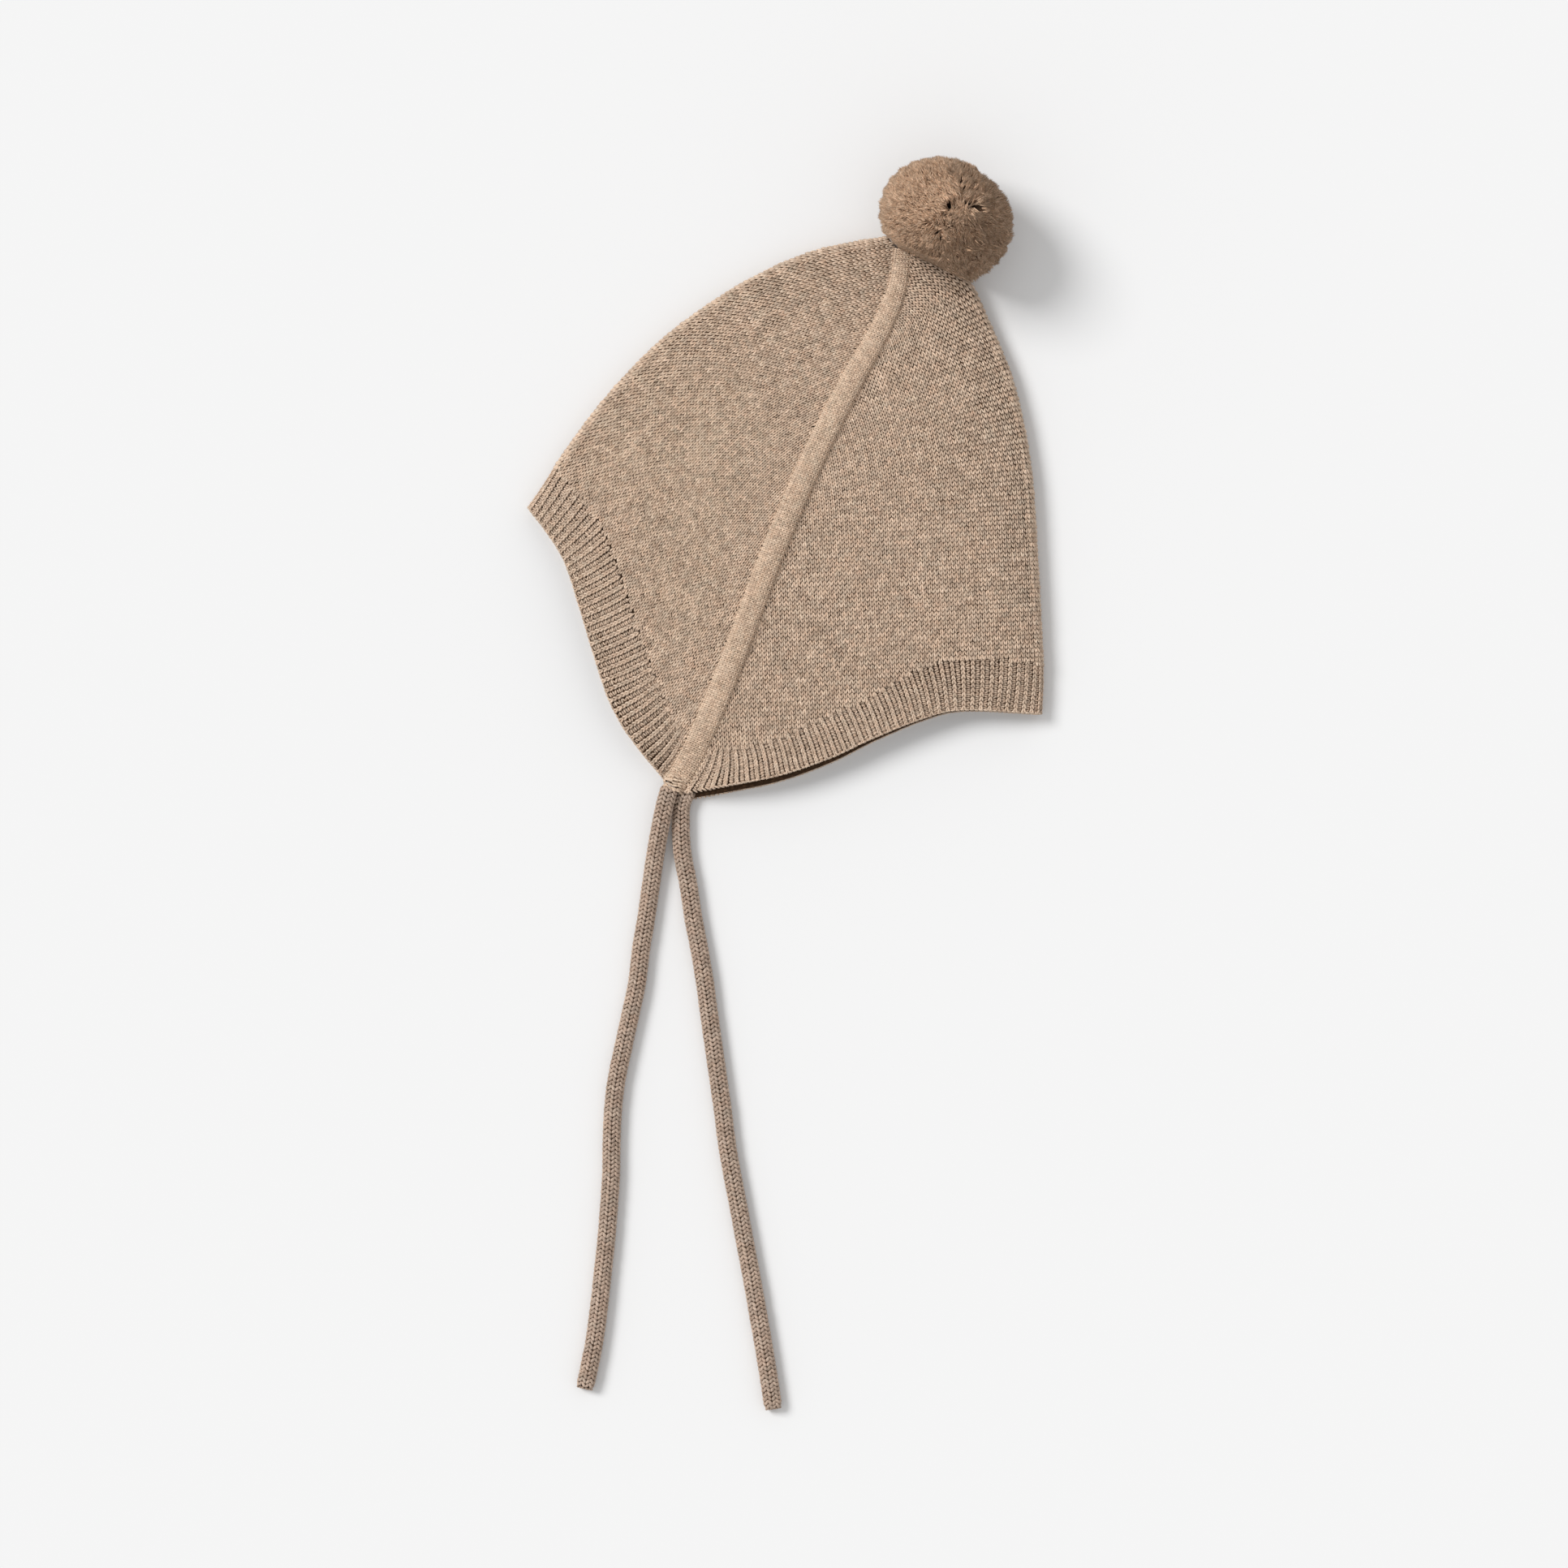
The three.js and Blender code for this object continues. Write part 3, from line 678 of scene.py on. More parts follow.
def cord_edge(side, share):
    return beside_cord(share, side * (cord_size(CORD_WIDTH, share) / 2 + GAP))


# %% [markdown]
# A pile of folded cloth has no straight walls. The near layer could be inflated in a simulation,
# but a formula gives the same soft rise and never moves: it starts at the height of the ear tip
# and gains height with the distance from the folds, from the mouth and from the tip.

# %% Height of the near layer and slide of the far one
TIP_HEIGHT, FOLD_HEIGHT, BODY_HEIGHT = 5.2 * MM, 6.4 * MM, 16.5 * MM
FOLD_NOSE, FOLD_RISE, TIP_RISE = 3.4 * MM, 16 * MM, 17 * MM
MOUTH_RISE, MOUTH_SHARE = 26 * MM, 0.52
FAR_SLIDE, SLIDE_FADE = np.array([1.7, -2.3]) * MM, 78 * MM


def nearest(points, places, at_once=4000):
    """Distance from each place to the nearest of the points, a few thousand places at a time."""
    gaps = [
        np.sqrt(((places[i:i + at_once, None] - points[None]) ** 2).sum(-1)).min(1)
        for i in range(0, len(places), at_once)
    ]
    return np.concatenate(gaps)


def rise(distance, over):
    """From 0 to nearly 1, within about this distance."""
    return 1 - np.exp(-distance / over)


def near_top(places):
    """Height of the upper side of the near layer."""
    folds = rise(nearest(front_fold_points, places), FOLD_RISE)
    folds = folds * rise(nearest(back_fold_points, places), FOLD_RISE)
    mouth = MOUTH_SHARE + (1 - MOUTH_SHARE) * rise(nearest(mouth_points, places), MOUTH_RISE)
    tip = rise((np.linalg.norm(places - EAR_TIP, axis=1) / TIP_RISE) ** 2, 1)
    body = FOLD_HEIGHT - TIP_HEIGHT + (BODY_HEIGHT - FOLD_HEIGHT) * folds * mouth
    return TIP_HEIGHT + body * tip


def far_slide(places):
    """How far the far layer has slid out at a place, most at the ear tip."""
    share = np.exp(-(np.linalg.norm(places - EAR_TIP, axis=1) / SLIDE_FADE) ** 2)
    return FAR_SLIDE * share[:, None]


# %% [markdown]
# At a fold the cloth runs round a soft nose, so a layer is measured from the very tip of the
# fold: first a quarter of the way round an oval, and then flat. A positive reach goes over the
# near layer and a negative one over the far layer.

# %% Round the fold


def quarter_girth(nose, half):
    """A quarter of the way round an oval that is this long and this high."""
    return math.pi / 2 * np.sqrt((nose**2 + half**2) / 2)


def folded_surface(fold, turn, nose, half, reach, near, flat_place):
    """The outer surface: round the nose while reach is short, and then along the flat place."""
    angle = np.clip(reach / quarter_girth(nose, half), 0, 1) * math.pi / 2
    on_nose = (angle < math.pi / 2)[:, None]
    inward = unit(turn - fold)
    nose_place = fold + inward * (nose * (1 - np.cos(angle)))[:, None]
    plan = np.where(on_nose, nose_place, flat_place)
    height = np.where(near, near_top(plan), 0)
    height = np.where(on_nose[:, 0], half * (1 + np.where(near, 1, -1) * np.sin(angle)), height)
    slide = far_slide(plan) * np.where(near, 0, np.sin(angle))[:, None]
    return np.column_stack([plan + slide, height])


# %% [markdown]
# Each piece fills the space between four lines: its mouth, its top, its fold and the side cord.
# The four lines are blended into one smooth patch. The ribs need one more step, because their
# ridges run straight in from the rim and fan out beside the cord.

# %% A stretch between four lines
EASE = 61  # steps over which a fold's direction is evened out


def patch(low, high, fold, cord):
    """Shares u from the fold to the cord and v from the mouth towards the crown, to a place."""
    none, all_of_it = np.zeros(1), np.ones(1)
    corners = [line(share) for line in (low, high) for share in (none, all_of_it)]

    def plan(u, v):
        between = low(u) * (1 - v)[:, None] + high(u) * v[:, None]
        between = between + fold(v) * (1 - u)[:, None] + cord(v) * u[:, None]
        weights = [(1 - u) * (1 - v), u * (1 - v), (1 - u) * v, u * v]
        return between - sum(c * w[:, None] for c, w in zip(corners, weights))

    return plan


def to_the_cord(table, side, share):
    """A line of the table that runs on to the side cord, by shares of its length."""
    line = Line([*table, tuple(cord_edge(side, np.array([share]))[0])])
    return lambda u: line.at(u * line.length)


def evened(values, width=EASE):
    padded = np.pad(values, width // 2, mode="edge")
    return np.convolve(padded, np.ones(width) / width, mode="valid")


SEAM_POINTS, SEAM_EASE, SEAM_END = 241, 25, 0.05  # near its ends a seam isn't evened out


def matched_seam(rim, seam, fan=9 * MM):
    """A seam read by shares of its rim, so that the ribs run straight in from the rim.

    Near the side cord they fan out, because the cord runs in at a slant.
    """
    share = np.linspace(0, 1, SEAM_POINTS)
    places, heading = rim(share), unit(np.gradient(rim(share), axis=0))
    off = np.abs(((seam(share)[None] - places[:, None]) * heading[:, None]).sum(-1))
    foot = np.maximum.accumulate(share[off.argmin(1)])
    length = np.linalg.norm(np.diff(seam(share), axis=0), axis=1).sum()
    kept = foot < 1 - fan / length
    share, foot = np.append(share[kept], 1.0), np.append(foot[kept], 1.0)
    fine = np.linspace(0, 1, SEAM_POINTS)
    ends = np.minimum(fine, 1 - fine)
    smooth = evened(np.interp(fine, share, foot), SEAM_EASE)
    smooth = np.where(ends < SEAM_END, np.interp(fine, share, foot), smooth)
    return lambda u: seam(np.interp(u, fine, smooth))


def by_share(line):
    """A line read by shares of its length."""
    return lambda v: line.at(v * line.length)


def straight(start, end):
    return lambda u: start + (end - start) * u[:, None]


def folded_skin(plan):
    """A function from v and a signed share of the girth to the outer surface of a folded piece."""
    def skin(v, share):
        fold, cord = plan(np.zeros(len(v)), v), plan(np.ones(len(v)), v)
        width = np.linalg.norm(cord - fold, axis=1)
        nose = np.minimum(FOLD_NOSE, 0.6 * width)
        turn = plan(nose / width, v)
        half = near_top(turn) / 2
        quarter = quarter_girth(nose, half)
        reach = np.abs(share) * (quarter + width - nose)
        u = (nose + np.maximum(reach - quarter, 0)) / width
        return folded_surface(fold, turn, nose, half, reach, share >= 0, plan(u, v))

    return skin


# %% The four folded pieces
one = np.ones(1)
front_plan = patch(
    to_the_cord(FACE_SEAM, 1, SEAM_AT), straight(front_fold.points[-1], cord_edge(1, one)[0]),
    by_share(front_fold), lambda v: cord_edge(1, SEAM_AT + (1 - SEAM_AT) * v))
back_plan = patch(
    to_the_cord(NECK_SEAM, -1, SEAM_AT), straight(back_fold.points[-1], cord_edge(-1, one)[0]),
    by_share(back_fold), lambda v: cord_edge(-1, SEAM_AT + (1 - SEAM_AT) * v))
face_rim, face_seam = to_the_cord(FACE_EDGE, 1, 0), to_the_cord(FACE_SEAM, 1, SEAM_AT)
neck_rim, neck_seam = to_the_cord(NECK_EDGE, -1, 0), to_the_cord(NECK_SEAM, -1, SEAM_AT)
face_plan = patch(
    face_rim, matched_seam(face_rim, face_seam),
    by_share(front_fold_rib), lambda v: cord_edge(1, SEAM_AT * v))
neck_plan = patch(
    neck_rim, matched_seam(neck_rim, neck_seam),
    by_share(back_fold_rib), lambda v: cord_edge(-1, SEAM_AT * v))
print("the ribs reach up to", SEAM_AT, "of the side cord")

# %% [markdown]
# ## The cloth itself
#
# Each folded piece gets one sheet: a flat grid that is laid over the shape, then given the
# thickness of the cloth behind its stitches with Solidify. It lies a little below the CAD
# surface, which leaves room for the stitches. Its flat size is measured from the cloth before it
# is made thick.

# %% One folded sheet
CLOTH_GRID, CLOTH_SUNK, CLOTH_WALL = (64, 40), 0.55 * MM, 1.1 * MM
RIB_GRID, RIB_SUNK, RIB_BACK_WALL = (120, 10), 1.15 * MM, 0.9 * MM
RIB_REACH = 1.06  # a band runs on this far, so that it goes a little under the panel


def sunk(skin, depth, side):
    """The same surface, but depth under it."""
    def deeper(v, share):
        out = axes_on(skin, v, share, step=0.002)[2]
        return skin(v, share) - out * side * depth

    return deeper


def folded_cloth(name, skin, side, sink, thick, grid, reach=1.0):
    """A thick sheet over both layers, and the area that it has before it is made thick."""
    def place(a, b):
        return sunk(skin, sink, side)(reach * b, 1 - 2 * a)

    # The sheet wears the cloth behind the stitches, painted dark as their shade.
    cloth = shaped_grid(name, *grid, place, painted_shade_backing)
    area = sum(p.area for p in cloth.data.polygons)
    near_face = cloth.data.polygons[grid[0] * (grid[1] // 2) + grid[0] // 4]
    if near_face.normal.z < 0:
        cloth.data.flip_normals()
    bpy.ops.object.modifier_add(type="SOLIDIFY")
    cloth.modifiers[0].thickness = thick
    cloth.modifiers[0].offset = -1
    bpy.ops.object.modifier_apply(modifier=cloth.modifiers[0].name)
    bpy.ops.object.shade_smooth()
    print(f"{name}: {area * 1e4:.0f} cm2 of cloth")
    return cloth, area


front_skin, back_skin = folded_skin(front_plan), folded_skin(back_plan)
face_skin, neck_skin = folded_skin(face_plan), folded_skin(neck_plan)
panel_cloth = (CLOTH_SUNK, CLOTH_WALL, CLOTH_GRID)
rib_cloth = (RIB_SUNK, RIB_BACK_WALL, RIB_GRID, RIB_REACH)
front_cloth, front_area = folded_cloth("front_cloth", front_skin, 1, *panel_cloth)
back_cloth, back_area = folded_cloth("back_cloth", back_skin, -1, *panel_cloth)
face_cloth, face_area = folded_cloth("face_rib_cloth", face_skin, 1, *rib_cloth)
neck_cloth, neck_area = folded_cloth("neck_rib_cloth", neck_skin, -1, *rib_cloth)

# %% [markdown]
# ## Plain stitches on the panels
#
# The columns of stitches, called wales, run side by side with the fold of each panel, and the
# rows run across them. So a stitch is placed by two measures: how far along the fold it is, and
# how far in from it, over the nose of the fold if it is on the far layer. Where the fold curves,
# the rows fan out a little towards it. The side cord and the rib cut the columns off.

# %% Columns beside a fold
FRONT_WALE, BACK_WALE, COURSE = 1.55 * MM, 1.62 * MM, 1.68 * MM
EVEN_AT = 35 * MM  # rows have their true height this far in from a fold
LINE_STEP = 0.5 * MM
BEFORE_FOLD, AFTER_FOLD = 84 * MM, 25 * MM  # how far the rows run on past the ends of a fold


class Wales:
    """Measures beside a fold: course numbers along it and distances in from it."""

    def __init__(self, fold, side, before, after):
        self.side, self.fold = side, fold
        self.distance = np.arange(-before, fold.length + after, LINE_STEP)
        heading = fold.heading(self.distance)
        self.angle = evened(np.unwrap(np.arctan2(heading[:, 1], heading[:, 0])))
        bend = evened(-side * np.gradient(self.angle, LINE_STEP))
        spacing = COURSE * (1 + bend * EVEN_AT)
        self.course = np.cumsum(LINE_STEP / spacing)

    def inward(self, distance):
        angle = np.interp(distance, self.distance, self.angle)
        return self.side * np.column_stack([np.sin(angle), -np.cos(angle)])

    def half_height(self, distance):
        """Half the height at the nose, which past the ends of the fold stays as it is there."""
        held = np.clip(distance, 0, self.fold.length)
        return near_top(self.fold.at(held) + self.inward(held) * FOLD_NOSE) / 2

    def flat_place(self, distance, reach):
        quarter = quarter_girth(FOLD_NOSE, self.half_height(distance))
        extra = FOLD_NOSE + np.maximum(np.abs(reach) - quarter, -FOLD_NOSE)
        return self.fold.at(distance) + self.inward(distance) * extra[:, None]

    def skin(self, distance, reach):
        fold, half = self.fold.at(distance), self.half_height(distance)
        turn = fold + self.inward(distance) * FOLD_NOSE
        flat_place = self.flat_place(distance, reach)
        return folded_surface(fold, turn, FOLD_NOSE, half, np.abs(reach), reach >= 0, flat_place)


def within(outline, places):
    """Which places are inside a closed outline."""
    x, y = places.T
    hit = np.zeros(len(places), bool)
    for (x0, y0), (x1, y1) in zip(outline, np.roll(outline, -1, axis=0)):
        if y0 != y1:
            crosses = (y0 > y) != (y1 > y)
            hit ^= crosses & (x < (x1 - x0) * (y - y0) / (y1 - y0) + x0)
    return hit


def outline_of(plan, points=300):
    """The plan of a panel, reaching a little past its fold."""
    share, none, all_of_it = np.linspace(0, 1, points), np.zeros(points), np.ones(points)
    fold = plan(none, share)
    past = fold + (fold - plan(none + 0.05, share)) * 0.3
    return np.vstack([past[:1], plan(share, none), plan(all_of_it, share), past[::-1]])


# %% [markdown]
# Each stitch gets two legs, which lean together, and each leg dives under the next row at its
# leading end. Every leg is turned, moved and sized a little differently, because wool never lies
# quite even. The far layer lies on the table, so it gets the simple leg.

# %% Two legs to a stitch
LEG_WIDE, LEG_THICK = 0.42 * MM, 0.50 * MM
LEG_FILLS, LEG_SHORT, LEG_LONG = 0.84, 0.95 * MM, 1.9 * MM  # half length, as a share of a row
LEG_APART, LEG_TILT = 0.232, math.radians(14)  # share of a wale, and lean towards the middle
LEG_SUNK, LEG_DIVE = 0.40 * MM, 0.33
STRAY = 0.05 * MM  # how far a leg strays from its place
FRONT_COLUMNS, BACK_COLUMNS = 76, 88  # on each side of a fold
OVERLAP = 0.9 * MM  # how far the columns run on under the side cord and the rib


def knit_panel(name, plan, wales, wale, per_side):
    outline = outline_of(plan)
    courses = np.arange(1, int(wales.course[-1]))
    columns = np.arange(-per_side, per_side) + 0.5
    course, column = (x.ravel() for x in np.meshgrid(courses, columns))
    distance = np.interp(course, wales.course, wales.distance)
    quarter = quarter_girth(FOLD_NOSE, FOLD_HEIGHT / 2)
    reach = column * wale
    spot = wales.flat_place(distance, reach)
    keep = within(outline, spot) | (nearest(outline, spot) < OVERLAP)
    near_one = reach > -quarter
    pieces = []
    for layer, chosen, model in (
        ("near", keep & near_one, LEG), ("far", keep & ~near_one, LOW_LEG)
    ):
        stitches = Copies(model)
        c, d, r = course[chosen], distance[chosen], reach[chosen]
        count = len(c)
        own = chance.random(count)
        d = d + STRAY * chance.standard_normal(count)
        for side in (-1, 1):
            at = r + side * LEG_APART * wale
            across, along, out = axes_on(wales.skin, d, at)
            out = out * wales.side
            across = unit(np.cross(along, out))
            tilted = -side * wales.side * LEG_TILT * (1 + 0.22 * chance.standard_normal(count))
            axes = lean(across, along, out, tilted, dive=LEG_DIVE)
            centre = wales.skin(d, at) - out * LEG_SUNK
            centre = centre + out * (STRAY * chance.standard_normal((count, 1)))
            ahead = wales.skin(np.interp(c + 0.5, wales.course, wales.distance), at)
            behind = wales.skin(np.interp(c - 0.5, wales.course, wales.distance), at)
            half = np.linalg.norm(ahead - behind, axis=1) * LEG_FILLS
            half = np.clip(half, LEG_SHORT, LEG_LONG)
            size = np.column_stack([np.full(count, LEG_WIDE), half, np.full(count, LEG_THICK)])
            size = size * jitter(count, 0.10)
            leg_own = np.clip(own + 0.18 * chance.standard_normal(count), 0, 1)
            note = np.stack([at / MM, c, leg_own], axis=1)
            stitches.add(centre, *axes, size, note)
        pieces.append(stitches.joined(f"{name}_stitches_{layer}", panel_yarn, "panel_knit"))
    return pieces


front_wales = Wales(front_fold, 1, BEFORE_FOLD, AFTER_FOLD)
back_wales = Wales(back_fold, -1, BEFORE_FOLD, AFTER_FOLD)
front_stitches = knit_panel("front", front_plan, front_wales, FRONT_WALE, FRONT_COLUMNS)
back_stitches = knit_panel("back", back_plan, back_wales, BACK_WALE, BACK_COLUMNS)

# %% [markdown]
# ## Ribs along the face and the neck
#
# A one-and-one rib pulls itself together: single columns of plain stitches stand up as narrow
# ridges, and the purl columns between them sink back and show as short bars. The ridges follow
# the rib band from its edge to its seam, closer together at the fold, where the band is pinched.
# Raised ribs could be cut into a plain band, but they would stay smooth where wool is not.

# %% Where the ridges run
RIB_APART, RIB_APART_AT_FOLD, RIB_EASE = 3.6 * MM, 2.7 * MM, 14 * MM
RIB_ROWS = 12
RIDGE_LEG, BAR_LEG = np.array([0.48, 1.20, 0.46]) * MM, np.array([0.44, 1.02, 0.40]) * MM
RIDGE_BESIDE, RIDGE_TILT, RIDGE_SUNK, RIDGE_DIVE = 0.34 * MM, math.radians(20), 0.38 * MM, 0.16
BAR_UNDER, EVERY_OTHER_UNDER, EVERY_OTHER_SIZE, BAR_BOW = 0.84 * MM, 1.19 * MM, 1.25, 0.25
RIB_STREAK = 110  # how many millimetres of yarn the note counts over one layer


def girth_of(skin, v):
    """Distances over one layer of a folded piece from its fold, and the shares they are at."""
    share = np.linspace(0, 1, 400)
    points = skin(np.full(400, v), share)
    hops = np.linalg.norm(np.diff(points, axis=0), axis=1)
    return np.concatenate([[0], np.cumsum(hops)]), share


def ridge_shares(skin):
    """Signed shares of the girth at which the ridges run, counted from the fold."""
    girth, share = girth_of(skin, 0.5)
    apart = RIB_APART - (RIB_APART - RIB_APART_AT_FOLD) * np.exp(-girth / RIB_EASE)
    count = np.concatenate([[0], np.cumsum(np.diff(girth) / apart[1:])])
    at = np.arange(0, math.floor(count[-1] - 0.1) + 1)
    shares = np.interp(at, count, share)
    halfway = np.interp(at + 0.5, count, share)
    return np.concatenate([-shares[:0:-1], shares]), np.concatenate([-halfway[::-1], halfway])


def layer_axes(skin, v, share, side):
    """Axes on a folded piece: across it, along it towards the crown, and out of it."""
    _, along, out = axes_on(skin, v, share, step=0.004)
    return unit(np.cross(along, out * side)), along, out * side


def knit_rib(name, skin, side):
    """Pairs of legs on the ridges, and bars that lie across the hollows between them."""
    stitches = Copies(LEG)
    ridges, hollows = ridge_shares(skin)
    rows = (np.arange(RIB_ROWS) + 0.5) / RIB_ROWS
    v, share = (x.ravel() for x in np.meshgrid(rows, ridges))
    row = v * RIB_ROWS + FIRST_ROW["rib"]
    for hand in (-1, 1):
        across, along, out = layer_axes(skin, v, share, side)
        own = chance.random(len(v))
        centre = skin(v, share) + across * hand * RIDGE_BESIDE - out * RIDGE_SUNK
        centre = centre + along * (STRAY * chance.standard_normal((len(v), 1)))
        axes = lean(across, along, out, -hand * RIDGE_TILT, dive=RIDGE_DIVE)
        note = np.stack([share * RIB_STREAK, row, own], axis=1)
        stitches.add(centre, *axes, RIDGE_LEG * jitter(len(v), 0.06), note)
    rows = (np.arange(2 * RIB_ROWS) + 0.9) / (2 * RIB_ROWS)
    v, share = (x.ravel() for x in np.meshgrid(rows, hollows))
    across, along, out = layer_axes(skin, v, share, side)
    shallow = np.round(v * 2 * RIB_ROWS).astype(int) % 2 == 0
    under = np.where(shallow, BAR_UNDER, EVERY_OTHER_UNDER)[:, None]
    size = BAR_LEG * np.where(shallow, 1, EVERY_OTHER_SIZE)[:, None] * jitter(len(v), 0.08)
    bowed = unit(across + along * BAR_BOW * chance.standard_normal((len(v), 1)))
    row = v * RIB_ROWS + FIRST_ROW["rib"]
    note = np.stack([share * RIB_STREAK, row, chance.random(len(v))], axis=1)
    stitches.add(skin(v, share) - out * under, along, bowed, out, size, note)
    return stitches.joined(name, rib_yarn, "rib_knit")


# %% [markdown]
# The cast-off edge is a chain of stitches that lies along the rim of each layer. It is two rows
# of leaning legs side by side on the rim.

# %% The cast-off edge
CHAIN_APART, CHAIN_LEG, CHAIN_LEAN = 1.75 * MM, np.array([0.40, 1.08, 0.42]) * MM, 0.42
CHAIN_LEG_APART = 0.22  # in mm, from the middle of a row to each of its legs
# In mm, how deep each row lies and how far past the rim.
CHAIN_ROWS = ((0.55, 0.05), (1.45, 0.15))


def cast_off(name, skin, side):
    """Two rows of chain stitches over the cut edge of a rib band."""
    chain = Copies(LEG)
    girth, share_at = girth_of(skin, 0.0)
    steps = np.arange(0.6 * MM, girth[-1] - 0.3 * MM, CHAIN_APART)
    shares = np.interp(steps, girth, share_at)
    share = np.concatenate([-shares[::-1], shares])
    v = np.full(len(share), 0.006)  # just inside the rim
    across, along, out = layer_axes(skin, v, share, side)
    for row, (under, lip) in enumerate(CHAIN_ROWS):
        for hand in (-1, 1):
            centre = skin(v, share) - out * (under + hand * CHAIN_LEG_APART) * MM - along * lip * MM
            tilted = unit(across + out * hand * CHAIN_LEAN)
            size = CHAIN_LEG * jitter(len(v), 0.06)
            note_row = np.full(len(v), FIRST_ROW["edge"] + row)
            note = np.stack([share * RIB_STREAK, note_row, chance.random(len(v))], axis=1)
            chain.add(centre, unit(np.cross(tilted, -along)), tilted, -along, size, note)
    return chain.joined(name, rib_yarn, "rib_knit")


face_stitches = [
    knit_rib("face_rib_stitches", face_skin, 1), cast_off("face_edge_chain", face_skin, 1)]
neck_stitches = [
    knit_rib("neck_rib_stitches", neck_skin, -1), cast_off("neck_edge_chain", neck_skin, -1)]

# %% [markdown]
# ## The side cords
#
# The seam on each side is covered by a strip of knitting that has rolled into a soft cord. Its
# columns run across it, over the roll, and a line of small stitches sews it down on both sides.
# The near cord stands proud. The far one lies flat on the table and shows as a roll inside.

# %% The roll of a side cord
ROLL_SUNK, ROLL_MIDDLE, ROLL_TAPER = 0.5 * MM, 1.2 * MM, 1.5 * MM
ROLL_GRID = (20, 150)
FOOT, FOOT_MORE, FOOT_POWER = 0.25, 0.13, 0.7  # both edges start a little way up, the left one more
FAR_EDGE_LIFT = 0.35 * MM


def near_roll(share, turn, sink=0.0):
    """Points on the near cord: turn runs over it from its left edge to its right one."""
    half = cord_size(CORD_WIDTH, share) / 2 - sink
    top = near_top(cord_line.at(share * cord_line.length))
    low, crest = top - PANEL_WALL, top + cord_size(CORD_PROUD, share) - sink
    lift = FOOT + FOOT_MORE * (1 + np.cos(turn)) / 2
    lift = lift + (1 - lift) * np.clip(np.sin(turn), 0, 1) ** FOOT_POWER
    place = beside_cord(share, half * np.cos(turn))
    return np.column_stack([place, low + (crest - low) * lift])


def far_roll(share, turn, sink=0.0):
    """Points under the far cord, which is flat where it lies on the table."""
    half = cord_size(CORD_WIDTH, share) / 2 - sink
    place = beside_cord(share, -half * np.cos(turn))
    place = place + far_slide(cord_line.at(share * cord_line.length))
    return np.column_stack([place, FAR_EDGE_LIFT * np.cos(turn) ** 8 + sink])


def cord_body(name, roll, height):
    """The roll as a closed tube, a little inside its stitches; height says how far it reaches."""
    def place(a, b):
        ends = np.clip(np.minimum(b, 1 - b) * cord_line.length / ROLL_TAPER, 0, 1)
        over = a <= 0.5
        turn = np.where(over, a, 1 - a) * 2 * math.pi
        skin = roll(b, turn, ROLL_SUNK)
        back = skin + np.array([0, 0, 1]) * height(b, turn)[:, None]
        spot = np.where(over[:, None], skin, back)
        middle = roll(b, np.full(len(b), math.pi / 2), ROLL_MIDDLE)
        return middle + (spot - middle) * ends[:, None]

    # The roll wears the cloth behind the stitches, painted dark as their shade.
    return closed_up(shaped_grid(name, *ROLL_GRID, place, painted_shade_backing))


def near_depth(share, turn):
    """How far down the near roll's underside is from its top."""
    top = near_top(cord_line.at(share * cord_line.length))
    flat = top - PANEL_WALL + 0.05 * MM
    return flat - near_roll(share, turn, ROLL_SUNK)[:, 2]


def far_depth(share, turn):
    """How far up the far roll's inner side is from the table side."""
    thick = PANEL_WALL - ROLL_SUNK + cord_size(CORD_INWARD, share)
    return thick * (0.3 + 0.7 * np.sin(turn))


near_tube = cord_body("side_cord_near_roll", near_roll, near_depth)
far_tube = cord_body("side_cord_far_roll", far_roll, far_depth)
placed(near_tube, "cord_knit", "side_cord_near")
placed(far_tube, "cord_knit", "side_cord_far")

# %% [markdown]
# The stitches of a cord lie across it, because the strip of knitting has rolled up sideways. So
# one column of them is laid over each short step of the cord, from its left edge to its right.

# %% Stitches over the roll
CORD_WALE, CORD_COURSE = 1.5 * MM, 1.2 * MM
CORD_LEG, CORD_LEG_APART = np.array([0.39, 1.15, 0.40]) * MM, 0.235
CORD_LEG_TILT, CORD_LEG_SUNK, CORD_LEG_DIVE = math.radians(20), 0.36 * MM, 0.14
CORD_STREAK = 215  # how many millimetres of yarn the note counts over the length


